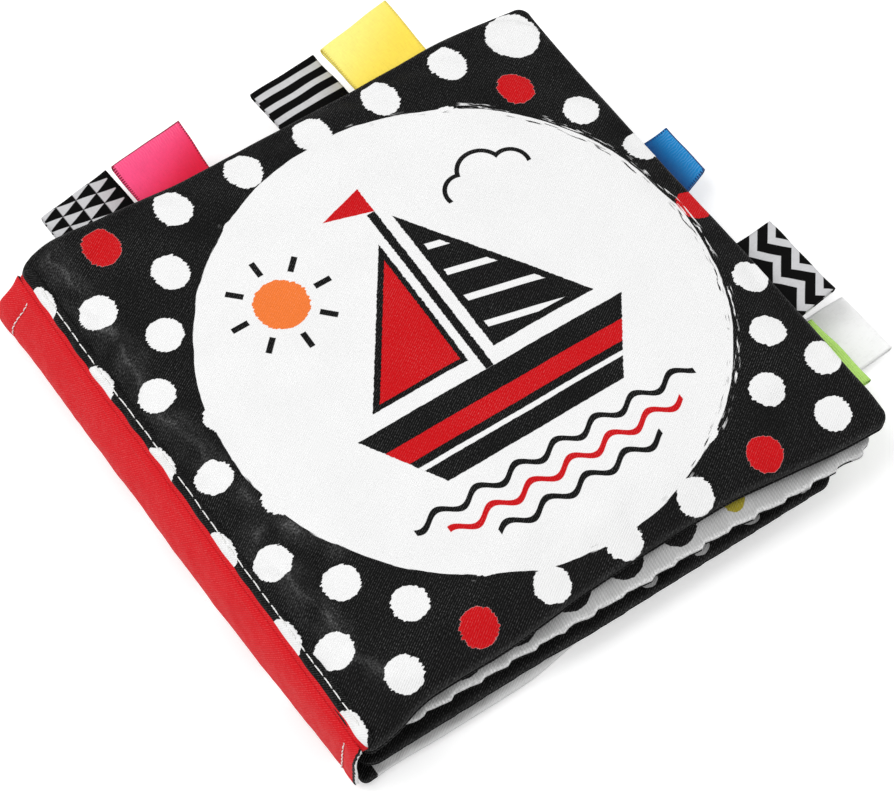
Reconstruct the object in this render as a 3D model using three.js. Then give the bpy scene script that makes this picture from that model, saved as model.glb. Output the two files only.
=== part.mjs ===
// A soft cloth baby book, closed and lying on its back cover.
// Millimetres, +Z up, +X from the spine to the fore edge, +Y from the foot to the head of the page.
// Four padded leaves (front cover, two inner leaves, back cover) are sewn to a padded spine,
// and eight ribbon tags are sewn into the leaves' edges.
// While the book is made, X is counted from the line where the covers turn on the spine,
// and Y from the middle of the page. The last lines move it to the middle of its own box.

import * as THREE from "three";

// Gaps
const sewnGap = 0.3; // between pieces that touch
const stackGap = 0.3; // between one leaf and the next

// Cloth and filling
const panelCloth = 1; // printed cloth with its fusible backing
const seamEdge = 0.9; // height of one panel's turned edge at the seam
const filmThickness = 0.4;
const liningCloth = 0.8;
const threadThickness = 0.5;

// Leaves: edge is the X of the side next to the spine, reach the X of the fore edge,
// and depth the padded thickness
const coverEdge = 0.15;
const coverReach = 172;
const coverHeight = 172;
const coverDepth = 8;
const leafEdge = 0.65;
const leafHeight = 170;
const leafDepth = 7;
const leafAReach = 170;
const leafBReach = 163;
const backReach = 166;
const cornerRadius = 10;
const roundOver = 26; // how far from its edge a leaf reaches its full thickness
const domeRise = 0.5; // further rise towards the middle of a leaf
const drawIn = 1.2; // how far a leaf's sides pull in between its corners
const flatCut = 0.5; // how deep the back cover's underside is pressed flat
const creaseFromSpine = 21; // soft crease that runs along the front cover's spine side
const creaseWidth = 7;
const creaseDepth = 0.6;

// Spine
const spineLength = 172;
const spineOuterCloth = 0.8;
const spineDepth = 3.6; // from the lining to the crown of the outer panel
const spineEdge = 0.6;
const spineRoundOver = 9;
const spineRidgeGap = 0.3; // from the hinge lines' level to the spine's long edges
const crossStitchInset = 9.5; // from the spine's ends
const crossDipWidth = 5;
const crossDip = 1;

// Ribbon tags
const ribbonWidth = 25.4;
const ribbonPly = 0.4;
const tagLength = 23.5;
const tagRootDepth = 1.6;
const tagLoopDepth = 2.4;
const narrowRibbonWidth = 19;
const patternRibbonWidth = 27;
const labelWidth = 21;
const labelLength = 34;
const yellowTagX = 124.5; // X of the middle of each tag on the head edge
const stripesTagX = 100;
const pinkTagX = 53.5;
const trianglesTagX = 28.5;
const blueTagY = 24; // Y of the middle of each tag on the fore edge
const chevronTagY = -27;
const greenTagY = -52;
const labelY = -47;

// Stitching
const ridgeStitchX = 3.4; // X of the stitched rows beside the spine
const gutterStitchX = 3.1;
const stitchWave = 0.25;
const stitchPitch = 7;
const stitchEndInset = 6;

// Counts and powers
const leafSteps = 12;
const fillingRings = 2; // outer rings of the grid that the filling leaves free for the seam
const spineEndSteps = 4;
const spineMiddleSteps = 6;
const spineAcrossSteps = 8;
const tagSteps = 10;
const threadSides = 6;
const cornerPower = 4;

// Heights of the four seams, which are also the heights of the hinge lines
const backSeam = coverDepth / 2;
const leafBSeam = coverDepth + stackGap + leafDepth / 2;
const leafASeam = leafBSeam + leafDepth + stackGap;
const frontSeam = leafASeam + leafDepth / 2 + stackGap + coverDepth / 2;
const spineBase = -sewnGap; // X of the lining's inner face

// Colours
const clothRoughness = 0.85;
const satinRoughness = 0.4;
const filmRoughness = 0.25;
const black = 0x1b1b1c;
const white = 0xefefef;
const red = 0xd8202c;
const soft = (color, roughness) => new THREE.MeshStandardMaterial({ color, roughness, metalness: 0 });
const cloth = (color) => soft(color, clothRoughness);
const satin = (color) => soft(color, satinRoughness);
const blackCloth = cloth(black);
const whiteCloth = cloth(white);
const redCloth = cloth(red);
const waddingWhite = cloth(0xf6f4ee);
const threadWhite = satin(0xf4f4f2);
const filmClear = soft(0xdfe4e8, filmRoughness);

// A closed solid between two surfaces over one grid of places.
// places[i][j] is [x, y], and top and bottom give the heights there.
function slab(places, top, bottom) {
  const columns = places.length;
  const rows = places[0].length;
  const points = [];
  for (const height of [bottom, top]) {
    for (const column of places) {
      for (const [x, y] of column) points.push(x, y, height(x, y));
    }
  }
  const layer = columns * rows;
  const index = [];
  const at = (i, j) => i * rows + j;
  for (let i = 0; i < columns - 1; i += 1) {
    for (let j = 0; j < rows - 1; j += 1) {
      const [a, b, c, d] = [at(i, j), at(i + 1, j), at(i + 1, j + 1), at(i, j + 1)];
      index.push(a, c, b, a, d, c);
      index.push(layer + a, layer + b, layer + c, layer + a, layer + c, layer + d);
    }
  }
  const rim = [];
  for (let i = 0; i < columns - 1; i += 1) rim.push(at(i, 0));
  for (let j = 0; j < rows - 1; j += 1) rim.push(at(columns - 1, j));
  for (let i = columns - 1; i > 0; i -= 1) rim.push(at(i, rows - 1));
  for (let j = rows - 1; j > 0; j -= 1) rim.push(at(0, j));
  rim.forEach((here, n) => {
    const next = rim[(n + 1) % rim.length];
    index.push(here, next, layer + next, here, layer + next, layer + here);
  });
  const geometry = new THREE.BufferGeometry();
  geometry.setAttribute("position", new THREE.Float32BufferAttribute(points, 3));
  geometry.setIndex(index);
  geometry.computeVertexNormals();
  return geometry;
}

// Places from -1 to 1, closer together near the ends, where the padding rounds over
function crowded(steps) {
  return Array.from({ length: steps + 1 }, (_, i) => Math.sin((i / steps - 1 / 2) * Math.PI));
}

// The part of a grid that the filling takes
function withoutSeam(places) {
  const inner = (list) => list.slice(fillingRings, -fillingRings);
  return inner(places).map(inner);
}

// A rectangle's grid point, moved so that the grid's corner becomes a round one
function roundedPlace(x, y, halfX, halfY, radius) {
  const overX = Math.abs(x) - (halfX - radius);
  const overY = Math.abs(y) - (halfY - radius);
  if (overX <= 0 || overY <= 0) return [x, y];
  const diagonal = 2 * radius * radius;
  const cornerX = halfX - radius + overX * Math.sqrt(1 - (overY * overY) / diagonal);
  const cornerY = halfY - radius + overY * Math.sqrt(1 - (overX * overX) / diagonal);
  return [Math.sign(x) * cornerX, Math.sign(y) * cornerY];
}

// How far a leaf's side is pulled in, at a share of the way from its middle to its corner
function drawnIn(share) {
  return drawIn * (1 - share * share);
}

// How full the padding is, from 0 at the edge of a padded rectangle to 1 where it is at its thickest
function fullness(x, y, halfX, halfY, reach) {
  const nearX = Math.max(0, 1 - (halfX - Math.abs(x)) / reach);
  const nearY = Math.max(0, 1 - (halfY - Math.abs(y)) / reach);
  const edge = Math.min(1, (nearX ** cornerPower + nearY ** cornerPower) ** (1 / cornerPower));
  return Math.sqrt(1 - edge * edge);
}

// A round dip of the given width, 1 at its middle
function dip(distance, width) {
  const share = Math.min(1, Math.abs(distance) / width);
  return (1 + Math.cos(share * Math.PI)) / 2;
}

const book = new THREE.Group();

function add(name, geometry, material, parent = book) {
  const mesh = new THREE.Mesh(geometry, material);
  mesh.name = name;
  parent.add(mesh);
  return mesh;
}

// One padded leaf: two panels sewn together round their edges, with film and wadding between them.
// Heights are counted from its seam. A creased leaf has the soft crease that runs along the spine.
function makeLeaf({ edge, reach, height, depth, creased, below = 0, floor = -Infinity }) {
  const halfX = (reach - edge) / 2;
  const halfY = height / 2;
  const middle = reach - halfX;
  const half = depth / 2;
  const rim = sewnGap / 2 + seamEdge;

  const places = crowded(leafSteps).map((u) =>
    crowded(leafSteps).map((v) => {
      const [x, y] = roundedPlace(u * halfX, v * halfY, halfX, halfY, cornerRadius);
      const pulledX = x - Math.sign(x) * drawnIn(y / halfY) * (x / halfX) ** 2;
      const pulledY = y - Math.sign(y) * drawnIn(x / halfX) * (y / halfY) ** 2;
      return [middle + (x < 0 ? x : pulledX), pulledY];
    }),
  );

  const rise = (x, y, full) => {
    const round = fullness(x - middle, y, halfX, halfY, roundOver);
    const across = (x - middle) / halfX;
    const along = y / halfY;
    const dome = Math.max(0, 1 - across * across) * Math.max(0, 1 - along * along);
    const crease = creased ? creaseDepth * round * dip(x - creaseFromSpine, creaseWidth) : 0;
    return rim + (full - rim - domeRise) * round + domeRise * dome - crease;
  };
  const outerTop = (x, y) => rise(x, y, half);
  const outerBottom = (x, y) => Math.max(floor, -rise(x, y, half + below));
  const innerTop = (x, y) => Math.max(sewnGap / 2, outerTop(x, y) - panelCloth);
  const innerBottom = (x, y) => Math.min(-sewnGap / 2, outerBottom(x, y) + panelCloth);
  const filmBottom = (x, y) => innerBottom(x, y) + sewnGap;
  const filmTop = (x, y) => filmBottom(x, y) + filmThickness;
  const fillingBottom = (x, y) => filmTop(x, y) + sewnGap;
  const fillingTop = (x, y) => innerTop(x, y) - sewnGap;
  const inside = withoutSeam(places);

  return {
    headEdge: (x) => halfY - drawnIn((x - middle) / halfX),
    foreEdge: (y) => reach - drawnIn(y / halfY),
    outerTop,
    outerBottom,
    upper: slab(places, outerTop, innerTop),
    lower: slab(places, innerBottom, outerBottom),
    film: slab(inside, filmTop, filmBottom),
    filling: slab(inside, fillingTop, fillingBottom),
  };
}

function placeLeaf(leaf, seam, names, materials) {
  const group = new THREE.Group();
  group.position.z = seam;
  book.add(group);
  add(names.upper, leaf.upper, materials.upper, group);
  add(names.lower, leaf.lower, materials.lower, group);
  add(names.filling, leaf.filling, waddingWhite, group);
  add(names.film, leaf.film, filmClear, group);
  return group;
}

// Leaves
const frontCover = makeLeaf({
  edge: coverEdge,
  reach: coverReach,
  height: coverHeight,
  depth: coverDepth,
  creased: true,
});
const leafA = makeLeaf({
  edge: leafEdge,
  reach: leafAReach,
  height: leafHeight,
  depth: leafDepth,
});
const leafB = makeLeaf({
  edge: leafEdge,
  reach: leafBReach,
  height: leafHeight,
  depth: leafDepth,
});
const backCover = makeLeaf({
  edge: coverEdge,
  reach: backReach,
  height: leafHeight,
  depth: coverDepth,
  below: flatCut,
  floor: -backSeam,
});

const frontGroup = placeLeaf(
  frontCover,
  frontSeam,
  {
    upper: "front_cover_outer_panel",
    lower: "front_cover_inner_panel",
    filling: "front_cover_wadding",
    film: "front_cover_crinkle_film",
  },
  { upper: blackCloth, lower: blackCloth },
);
const groupA = placeLeaf(
  leafA,
  leafASeam,
  {
    upper: "leaf_a_upper_panel",
    lower: "leaf_a_lower_panel",
    filling: "leaf_a_wadding",
    film: "leaf_a_crinkle_film",
  },
  { upper: whiteCloth, lower: blackCloth },
);
const groupB = placeLeaf(
  leafB,
  leafBSeam,
  {
    upper: "leaf_b_upper_panel",
    lower: "leaf_b_lower_panel",
    filling: "leaf_b_wadding",
    film: "leaf_b_crinkle_film",
  },
  { upper: blackCloth, lower: blackCloth },
);
const backGroup = placeLeaf(
  backCover,
  backSeam,
  {
    upper: "back_cover_inner_panel",
    lower: "back_cover_outer_panel",
    filling: "back_cover_wadding",
    film: "back_cover_crinkle_film",
  },
  { upper: whiteCloth, lower: blackCloth },
);

// Spine: made lying flat, with its outer face up, then stood against the leaves.
// Its own X runs down the spine's height, its own Z outwards.
const spineHeight = frontSeam - backSeam - 2 * spineRidgeGap;
const spineHalfX = spineHeight / 2;
const spineHalfY = spineLength / 2;
const crossStitchPlace = spineHalfY - crossStitchInset;
const endRows = Array.from({ length: spineEndSteps + 1 }, (_, j) => {
  const inset = crossStitchInset * (1 - Math.cos(((j / spineEndSteps) * Math.PI) / 2));
  return spineHalfY - inset;
});
endRows.push(crossStitchPlace - crossDipWidth / 2);
const middleRows = Array.from({ length: spineMiddleSteps + 1 }, (_, j) => {
  return (crossStitchPlace - crossDipWidth) * ((2 * j) / spineMiddleSteps - 1);
});
const spineRows = [...endRows.map((y) => -y), ...middleRows, ...endRows.reverse()];
const spinePlaces = crowded(spineAcrossSteps).map((u) => spineRows.map((y) => [u * spineHalfX, y]));
const shellBase = liningCloth + sewnGap;
const spineTop = (x, y) => {
  const round = fullness(x, y, spineHalfX, spineHalfY, spineRoundOver);
  const stitched = crossDip * round * dip(Math.abs(y) - crossStitchPlace, crossDipWidth);
  const rim = shellBase + spineEdge;
  return rim + (spineDepth - rim) * round - stitched;
};
const spineInner = (x, y) => Math.max(shellBase, spineTop(x, y) - spineOuterCloth);
const spineInside = withoutSeam(spinePlaces);

const spine = new THREE.Group();
spine.position.set(spineBase, 0, (frontSeam + backSeam) / 2);
spine.rotation.y = -Math.PI / 2;
book.add(spine);
add("spine_outer_panel", slab(spinePlaces, spineTop, spineInner), redCloth, spine);
add("spine_lining", slab(spinePlaces, () => liningCloth, () => 0), blackCloth, spine);
add(
  "spine_wadding",
  slab(spineInside, (x, y) => spineInner(x, y) - sewnGap, () => shellBase),
  waddingWhite,
  spine,
);

// A row of stitches: one thread that waves along a straight row, from start to end,
// at the height that the cloth under it has. side is 1 above the cloth and -1 below it.
function makeThread(start, end, clothHeight, side) {
  const from = new THREE.Vector2(...start);
  const to = new THREE.Vector2(...end);
  const stitches = Math.round(from.distanceTo(to) / stitchPitch);
  const steps = stitches * 2;
  const lift = sewnGap + threadThickness / 2;
  const points = Array.from({ length: steps + 1 }, (_, i) => {
    const place = from.clone().lerp(to, i / steps);
    const wave = (i % 2) * stitchWave;
    return new THREE.Vector3(place.x, place.y, clothHeight(place.x, place.y) + side * (lift + wave));
  });
  const section = new THREE.Shape();
  const corners = Array.from({ length: threadSides }, (_, i) => {
    const turn = (2 * Math.PI * i) / threadSides;
    return new THREE.Vector2(Math.cos(turn), Math.sin(turn)).multiplyScalar(threadThickness / 2);
  });
  section.setFromPoints(corners);
  return new THREE.ExtrudeGeometry(section, {
    steps,
    extrudePath: new THREE.CatmullRomCurve3(points),
  });
}

const rowHalf = (length) => length / 2 - stitchEndInset;
add(
  "front_ridge_stitching",
  makeThread(
    [ridgeStitchX, -rowHalf(coverHeight)],
    [ridgeStitchX, rowHalf(coverHeight)],
    frontCover.outerTop,
    1,
  ),
  threadWhite,
  frontGroup,
);
add(
  "back_ridge_stitching",
  makeThread(
    [ridgeStitchX, -rowHalf(leafHeight)],
    [ridgeStitchX, rowHalf(leafHeight)],
    backCover.outerBottom,
    -1,
  ),
  threadWhite,
  backGroup,
);
for (const [name, leaf, group] of [
  ["leaf_a_gutter_stitching", leafA, groupA],
  ["leaf_b_gutter_stitching", leafB, groupB],
]) {
  const row = rowHalf(leafHeight);
  const thread = makeThread([gutterStitchX, -row], [gutterStitchX, row], leaf.outerTop, 1);
  add(name, thread, threadWhite, group);
}
for (const [name, side] of [
  ["spine_head_stitching", 1],
  ["spine_foot_stitching", -1],
]) {
  const row = spineHalfX - spineEdge;
  const place = side * crossStitchPlace;
  add(name, makeThread([-row, place], [row, place], spineTop, 1), threadWhite, spine);
}

// A ribbon tag: a ribbon folded in half, its two ends together in the seam and a small loop at the fold.
// Made along +Y from the leaf's edge, with the seam at height 0.
function makeTag(width, length) {
  const outline = (root, loop, start, end) => {
    const depth = (share) => root + (loop - root) * Math.sin((share * Math.PI) / 2);
    const upper = [];
    for (let i = 0; i <= tagSteps; i += 1) {
      const share = i / tagSteps;
      const foldAt = end - loop / 2;
      upper.push(new THREE.Vector2(start + (foldAt - start) * share, depth(share) / 2));
    }
    const fold = [];
    for (let i = 1; i < tagSteps / 2; i += 1) {
      const turn = Math.PI / 2 - (2 * Math.PI * i) / tagSteps;
      const cap = new THREE.Vector2(Math.cos(turn), Math.sin(turn)).multiplyScalar(loop / 2);
      fold.push(cap.add(new THREE.Vector2(end - loop / 2, 0)));
    }
    const lower = upper.map((point) => new THREE.Vector2(point.x, -point.y)).reverse();
    return [...upper, ...fold, ...lower];
  };
  const shape = new THREE.Shape(outline(tagRootDepth, tagLoopDepth, 0, length));
  const innerRoot = tagRootDepth - 2 * ribbonPly;
  const innerLoop = tagLoopDepth - 2 * ribbonPly;
  const hole = outline(innerRoot, innerLoop, ribbonPly, length - ribbonPly).reverse();
  shape.holes.push(new THREE.Path(hole));
  const geometry = new THREE.ExtrudeGeometry(shape, { depth: width, bevelEnabled: false });
  geometry.translate(0, 0, -width / 2);
  geometry.rotateY(Math.PI / 2);
  return geometry.rotateX(Math.PI / 2);
}

// Tags on the head edge, placed by the X of their middle, and on the fore edge, by their Y
const headTags = [
  { name: "tag_yellow", leaf: frontCover, group: frontGroup, place: yellowTagX, color: 0xffe84a },
  { name: "tag_stripes", leaf: leafA, group: groupA, place: stripesTagX, color: white },
  { name: "tag_pink", leaf: leafA, group: groupA, place: pinkTagX, color: 0xee2c58 },
  { name: "tag_triangles", leaf: leafB, group: groupB, place: trianglesTagX, color: white },
];
const foreTags = [
  {
    name: "tag_blue",
    leaf: leafB,
    group: groupB,
    place: blueTagY,
    color: 0x0f63b4,
    width: narrowRibbonWidth,
  },
  {
    name: "tag_chevron",
    leaf: leafA,
    group: groupA,
    place: chevronTagY,
    color: white,
    width: patternRibbonWidth,
  },
  { name: "tag_green", leaf: leafB, group: groupB, place: greenTagY, color: 0xa6dc5c },
  {
    name: "tag_white_label",
    leaf: backCover,
    group: backGroup,
    place: labelY,
    color: white,
    width: labelWidth,
    length: labelLength,
  },
];
for (const { name, leaf, group, place, color } of headTags) {
  const tag = add(name, makeTag(ribbonWidth, tagLength), satin(color), group);
  tag.position.set(place, leaf.headEdge(place) + sewnGap, 0);
}
for (const { name, leaf, group, place, color, width = ribbonWidth, length = tagLength } of foreTags) {
  const tag = add(name, makeTag(width, length), satin(color), group);
  tag.position.set(leaf.foreEdge(place) + sewnGap, place, 0);
  tag.rotation.z = -Math.PI / 2;
}

// The middle of the book's box goes to X 0 and Y 0, and its underside is at Z 0
const box = new THREE.Box3().setFromObject(book, true);
const middle = box.getCenter(new THREE.Vector3());
book.position.set(-middle.x, -middle.y, 0);

export default book;
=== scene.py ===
"""A soft cloth baby book: padded leaves, a sewn spine and ribbon tags, with their printed cloth."""

import math

import bpy
import numpy as np
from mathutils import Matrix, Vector


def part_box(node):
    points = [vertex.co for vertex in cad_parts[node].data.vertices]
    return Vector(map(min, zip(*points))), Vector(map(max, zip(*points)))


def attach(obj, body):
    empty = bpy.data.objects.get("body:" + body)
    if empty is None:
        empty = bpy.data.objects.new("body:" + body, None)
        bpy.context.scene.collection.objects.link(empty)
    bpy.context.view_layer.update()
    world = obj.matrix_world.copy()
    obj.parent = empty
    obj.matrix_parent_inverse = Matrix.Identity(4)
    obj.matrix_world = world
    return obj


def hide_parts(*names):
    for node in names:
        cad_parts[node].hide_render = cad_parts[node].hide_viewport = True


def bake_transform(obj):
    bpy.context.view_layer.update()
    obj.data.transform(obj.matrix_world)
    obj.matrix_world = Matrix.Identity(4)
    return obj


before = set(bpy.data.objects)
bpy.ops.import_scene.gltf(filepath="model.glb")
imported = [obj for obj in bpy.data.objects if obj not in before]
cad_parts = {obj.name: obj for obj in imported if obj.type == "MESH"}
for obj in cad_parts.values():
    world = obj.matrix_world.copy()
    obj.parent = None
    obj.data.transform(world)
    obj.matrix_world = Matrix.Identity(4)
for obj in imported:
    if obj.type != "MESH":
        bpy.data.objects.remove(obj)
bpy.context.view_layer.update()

# Sizes, in millimetres. X is counted from the covers' hinge line, Y from the middle of the page
# and Z from the table, as in the CAD model.
MM = 0.001
PAGE_CENTRE = (90.0, 0.9)

# Leaves
COVER_DEPTH = 8.0
LEAF_DEPTH = 7.0
STACK_GAP = 0.3
COVER_HEIGHT = 172.0
LEAF_HEIGHT = 170.0
COVER_REACH = 172.0
LEAF_A_REACH = 170.0
LEAF_B_REACH = 163.0
BACK_REACH = 166.0
COVER_EDGE = 0.15
LEAF_EDGE = 0.65
COVER_CORNER = 3.4
LEAF_CORNER = 5.5
BACK_CORNER = 2.0
TURN_IN = 7.0
ROUND_OVER = 26.0
DOME_RISE = 0.5
SEAM_RIM = 1.05
FOOT_RIM_FROM = 66.0
FOOT_RIM_RUN = 14.0
CREASE_PLACE = 21.0
CREASE_WIDTH = 7.0
CREASE_DEPTH = 0.6
FLAT_CUT = 0.5
BACK_SEAM = COVER_DEPTH / 2
LEAF_B_SEAM = COVER_DEPTH + STACK_GAP + LEAF_DEPTH / 2
LEAF_A_SEAM = LEAF_B_SEAM + LEAF_DEPTH + STACK_GAP
FRONT_SEAM = LEAF_A_SEAM + LEAF_DEPTH / 2 + STACK_GAP + COVER_DEPTH / 2
FLOOR_CLEARANCE = 0.12
FLOOR_BUMPS = 0.04
COVER_STEPS = 190
LEAF_STEPS = 120

# How the soft leaves lie. Each table has places along an edge and where the edge is there, since
# stuffed and stitched cloth isn't straight. The swings are added to the straight ridge and spine.
FRONT_FOOT = (
    (0.0, -87.0), (11.0, -86.4), (17.0, -84.6), (22.0, -82.6), (35.0, -82.4), (50.0, -82.7),
    (60.0, -81.8), (75.0, -80.5), (100.0, -79.7), (124.0, -79.8), (134.0, -81.0), (144.0, -82.3),
    (158.0, -84.2), (175.0, -84.9),
)
FRONT_HEAD = (
    (0.0, 85.2), (3.0, 86.3), (8.0, 89.3), (14.0, 89.8), (22.0, 88.9), (38.0, 87.8),
    (50.0, 86.8), (75.0, 87.0), (110.0, 87.2), (122.0, 87.6), (142.0, 88.4), (157.0, 87.3),
    (172.0, 85.6),
)
FRONT_FORE = (
    (-86.0, 176.4), (-70.0, 176.1), (-47.0, 175.8), (-25.0, 175.3), (-8.0, 174.6),
    (12.0, 173.6), (37.0, 172.6), (54.0, 172.1), (72.0, 171.8), (86.0, 171.6),
)
FRONT_SAG = ((0.0, 2.6), (14.0, 2.6), (26.0, 2.35), (175.0, 2.35))
LEAF_A_FOOT = (
    (0.0, -83.4), (20.0, -83.9), (45.0, -84.3), (62.0, -84.5), (75.0, -85.0), (120.0, -84.9),
    (133.0, -85.8), (145.0, -86.4), (172.0, -86.4),
)
LEAF_A_FORE = ((-85.0, 171.8), (-60.0, 171.8), (-30.0, 171.0), (0.0, 170.2), (85.0, 169.6))
LEAF_A_SAG = ((0.0, 0.3), (172.0, 0.3))
LEAF_B_FOOT = ((0.0, -86.0), (60.0, -85.9), (72.0, -86.5), (163.0, -86.5))
LEAF_B_FORE = ((-85.0, 159.0), (-70.0, 159.6), (-50.0, 161.4), (-30.0, 162.6), (85.0, 162.6))
LEAF_B_SAG = ((0.0, 0.5), (163.0, 0.5))
BACK_FOOT = (
    (0.0, -86.8), (12.0, -86.3), (25.0, -86.8), (56.0, -86.7), (68.0, -84.8), (80.0, -83.0),
    (166.0, -82.5),
)
BACK_FORE = ((-85.0, 155.0), (-70.0, 159.0), (-60.0, 163.0), (-50.0, 165.5), (85.0, 165.6))
BACK_SAG = ((0.0, 0.0), (166.0, 0.0))
LEAF_HEAD = ((0.0, 84.6), (85.0, 83.8), (172.0, 84.6))
SAG_REACH = 15.0
RIDGE_SWING = (
    (-86.0, 0.9), (-74.0, 0.8), (-63.0, 0.5), (-44.0, 0.1), (-23.0, -0.5), (0.0, -0.7),
    (20.0, -1.1), (42.0, -2.1), (69.0, -2.4), (86.0, -2.6),
)
SPINE_SWING = (
    (-86.0, 2.2), (-79.0, 2.5), (-72.0, 2.2), (-65.0, 1.7), (-58.0, 1.0), (-44.0, 0.2),
    (-37.0, -0.2), (-22.0, -1.1), (-8.0, -1.7), (7.0, -2.1), (22.0, -2.7), (38.0, -3.4),
    (53.0, -4.0), (69.0, -4.4), (77.0, -5.2), (86.0, -6.0),
)
SWING_HIGH = 25.0
SWING_LOW = 9.0
ROOT_REACH = 24.0
ROOT_CLEARANCE = 0.4

# How the leaves' grids are spaced: 0 is even, and towards 1 crowds the rows at the edges
CROWDING = 0.62
CORNER_POWER = 4

# The seam round each leaf: how far its groove goes in, its gathers, and the painted highlight along its
# rolled edge
SEAM_PROFILE = ((-0.12, 0.8), (-0.14, 0.55), (-0.02, 0.32), (0.25, 0.14), (0.6, 0.0))
SEAM_PLACE_SHARE = 0.3
SEAM_WANDER_SHARE = 0.06
SEAM_WANDER_RUN = 6.1
SEAM_LIGHT_SHARE = 0.6
PUCKER_SHARE = 0.25
PUCKER_PITCH = 5.3
PUCKER_DRIFT_RUN = 17
FINE_PUCKER_SHARE = 0.2
FINE_PUCKER_RUN = 2.9
GATHER_DEPTH = 0.22
GATHER_FROM = 1.5
GATHER_WANDER = 3
GATHER_REACH = 9.0
GATHER_PITCH = 8.5
TOOTH_PITCH = 9.0
TOOTH_REACH = 2.0
TOOTH_WANDER = 0.25
SEAM_LIGHT_REACH = 0.7

# Folds of the front cover: creases beside the ridge, and the soft fold round the disc's lower
# left. Each is a line of places, its width and its height, with a dip on the ridge's side of it.
FRONT_FOLDS = (
    (((8.2, 86.0), (9.0, 79.5), (8.4, 68.3), (9.4, 62.0)), 1.1, 0.75),
    (((7.6, 56.0), (10.4, 51.5), (9.8, 43.3), (8.4, 35.0)), 1.1, 0.85),
    (((8.2, 24.0), (10.7, 14.0), (12.3, 4.5)), 1.1, 0.7),
    (((13.2, -4.0), (17.2, -14.5)), 1.8, 0.4),
    (((9.6, -22.4), (12.4, -20.4), (18.9, -23.6), (23.7, -28.8), (26.4, -34.5)), 1.2, 0.8),
    (((11.4, -34.0), (11.9, -44.3), (13.7, -56.0)), 1.2, 0.75),
    (((13.2, -62.0), (15.4, -67.0), (19.5, -72.5)), 2.2, 0.5),
)
DIP_SIDE = 3.6
DIP_WIDTH = 2.6
COVER_BUMPS = 0.16
COVER_RUMPLES = 0.06
COVER_LOW_BUMPS = 0.1
LEAF_BUMPS = 0.12
FULL_FOLDS = 1.6
FOLD_WANDER = 0.7
FOLD_SHARE = 0.6
DIP_SHARE = 0.5
# Painted highlight along each fold and beside it, which is partly rubbed wear
FOLD_HIGHLIGHT_SHARE = 0.9
HIGHLIGHT_BESIDE_SHARE = 0.3
HIGHLIGHT_SIDE = 2.2
HIGHLIGHT_WIDTH = 2.4

# Ridges, where the covers' cloth turns over to the spine
RIDGE_CLOTH = 0.45
RIDGE_KEEP = 4.4
RIDGE_DIP = 1.6
RIDGE_WAVE = 0.3
RIDGE_WAVE_FROM = 6
RIDGE_WAVE_REACH = 9
RIDGE_WAVE_PITCH = 11.5
RIDGE_WAVE_WANDER = 2.2
RIDGE_RUMPLES = 0.12
RIDGE_MIDDLE = 15.0
RIDGE_COLUMNS = 40
RIDGE_ROWS = 300
FRONT_RIDGE_END = 86.0
BACK_RIDGE_END = 84.0
RIDGE_END_ROUND = 4.5
RIDGE_END_SHARE = 0.9
COVER_ROOT = 1.5
RIPPLE_PITCH = 10.5
RIPPLE_OUT_SHARE = 0.8
RIPPLE_UP_SHARE = 0.4
BACK_SWING_FROM = 0.8
BACK_SWING_RUN = 4.2
LIP_PLACE = 1.4
LIP_WIDTH = 1.1
FRONT_RIDGE = (
    (5.4, 28.9), (4.5, 29.45), (3.6, 29.4), (2.7, 29.0), (2.0, 28.1), (1.4, 27.0), (0.5, 25.8),
    (-0.4, 24.6), (-0.9, 23.6),
)
BACK_RIDGE = (
    (5.0, 1.05), (4.2, 0.66), (3.2, 0.7), (2.2, 1.0), (1.0, 1.7), (0.0, 2.8), (-0.9, 3.9),
    (-1.9, 5.0), (-2.3, 5.8),
)

# Spine
SPINE_HALF = 86.0
SPINE_END_ROUND = 5
SPINE_END_SHARE = 0.75
LINING_SHARE = 0.5
LINING_FOOT_SHARE = 0.2
LINING_OUT_SHARE = 0.9
CROSS_ROW_HEAD = 78.0
CROSS_ROW_FOOT = -80.5
CROSS_OUT = 0.2
END_FLARE = 3.6
CROSS_DIP = 0.55
CROSS_DIP_WIDTH = 3.2
SPINE_COLUMNS = 30
SPINE_ROWS = 230
SPINE_FACE = (
    (0.9, 26.4), (0.1, 25.2), (-0.7, 23.4), (-1.9, 19.5), (-2.9, 14.5), (-3.3, 9.5), (-2.8, 5.4),
    (-1.15, 4.0),
)
SPINE_BACK = (
    (1.5, 25.3), (0.8, 24.2), (0.1, 22.0), (-0.4, 18.5), (-0.4, 12.0), (-0.4, 7.0), (-0.5, 4.35),
)
SPINE_ARC_START = 5.0

# Ribbon tags
RIBBON_PLY = 0.42
PLY_SHARE = 0.6
TAG_COLUMNS = 27
TAG_ROWS = 60
BEND_SHARE = 0.04
LOOP_HALF = 0.9
LOOP_BASE_SHARE = 0.35
TAG_WAVES = 0.35
TAG_WAVES_PITCH = 14
TAG_WAVES_FROM = 8

# Threads
THREAD_RADIUS = 0.18
THREAD_SIDES = 8
THREAD_RINGS = 12
THREAD_ARCH = 0.12
THREAD_DIVE_SHARE = 1.2
THREAD_END_SHARE = 0.55
THREAD_MIDDLE_SHARE = 0.45
THREAD_TWIST = 3.0
THREAD_TWIST_SHARE = 0.16
STITCH_DRIFT = 0.12
RIDGE_STITCH = 3.6
RIDGE_GAP = 0.55
FRONT_ROW_HALF = 81
BACK_ROW_HALF = 79
CROSS_STITCH = 2.1
CROSS_GAP = 0.5
GUTTER_STITCH_X = 3.1
GUTTER_STITCH_RISE = 0.12

# Place of the book in the frame that all the pieces share
lining_low, lining_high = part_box("spine_lining")
SHIFT = np.array([lining_high.x / MM + STACK_GAP, (lining_low.y + lining_high.y) / 2 / MM, 0.0])


def linked(name, data):
    """A new object of the scene, with this data."""
    made = bpy.data.objects.new(name, data)
    bpy.context.scene.collection.objects.link(made)
    return made


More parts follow.
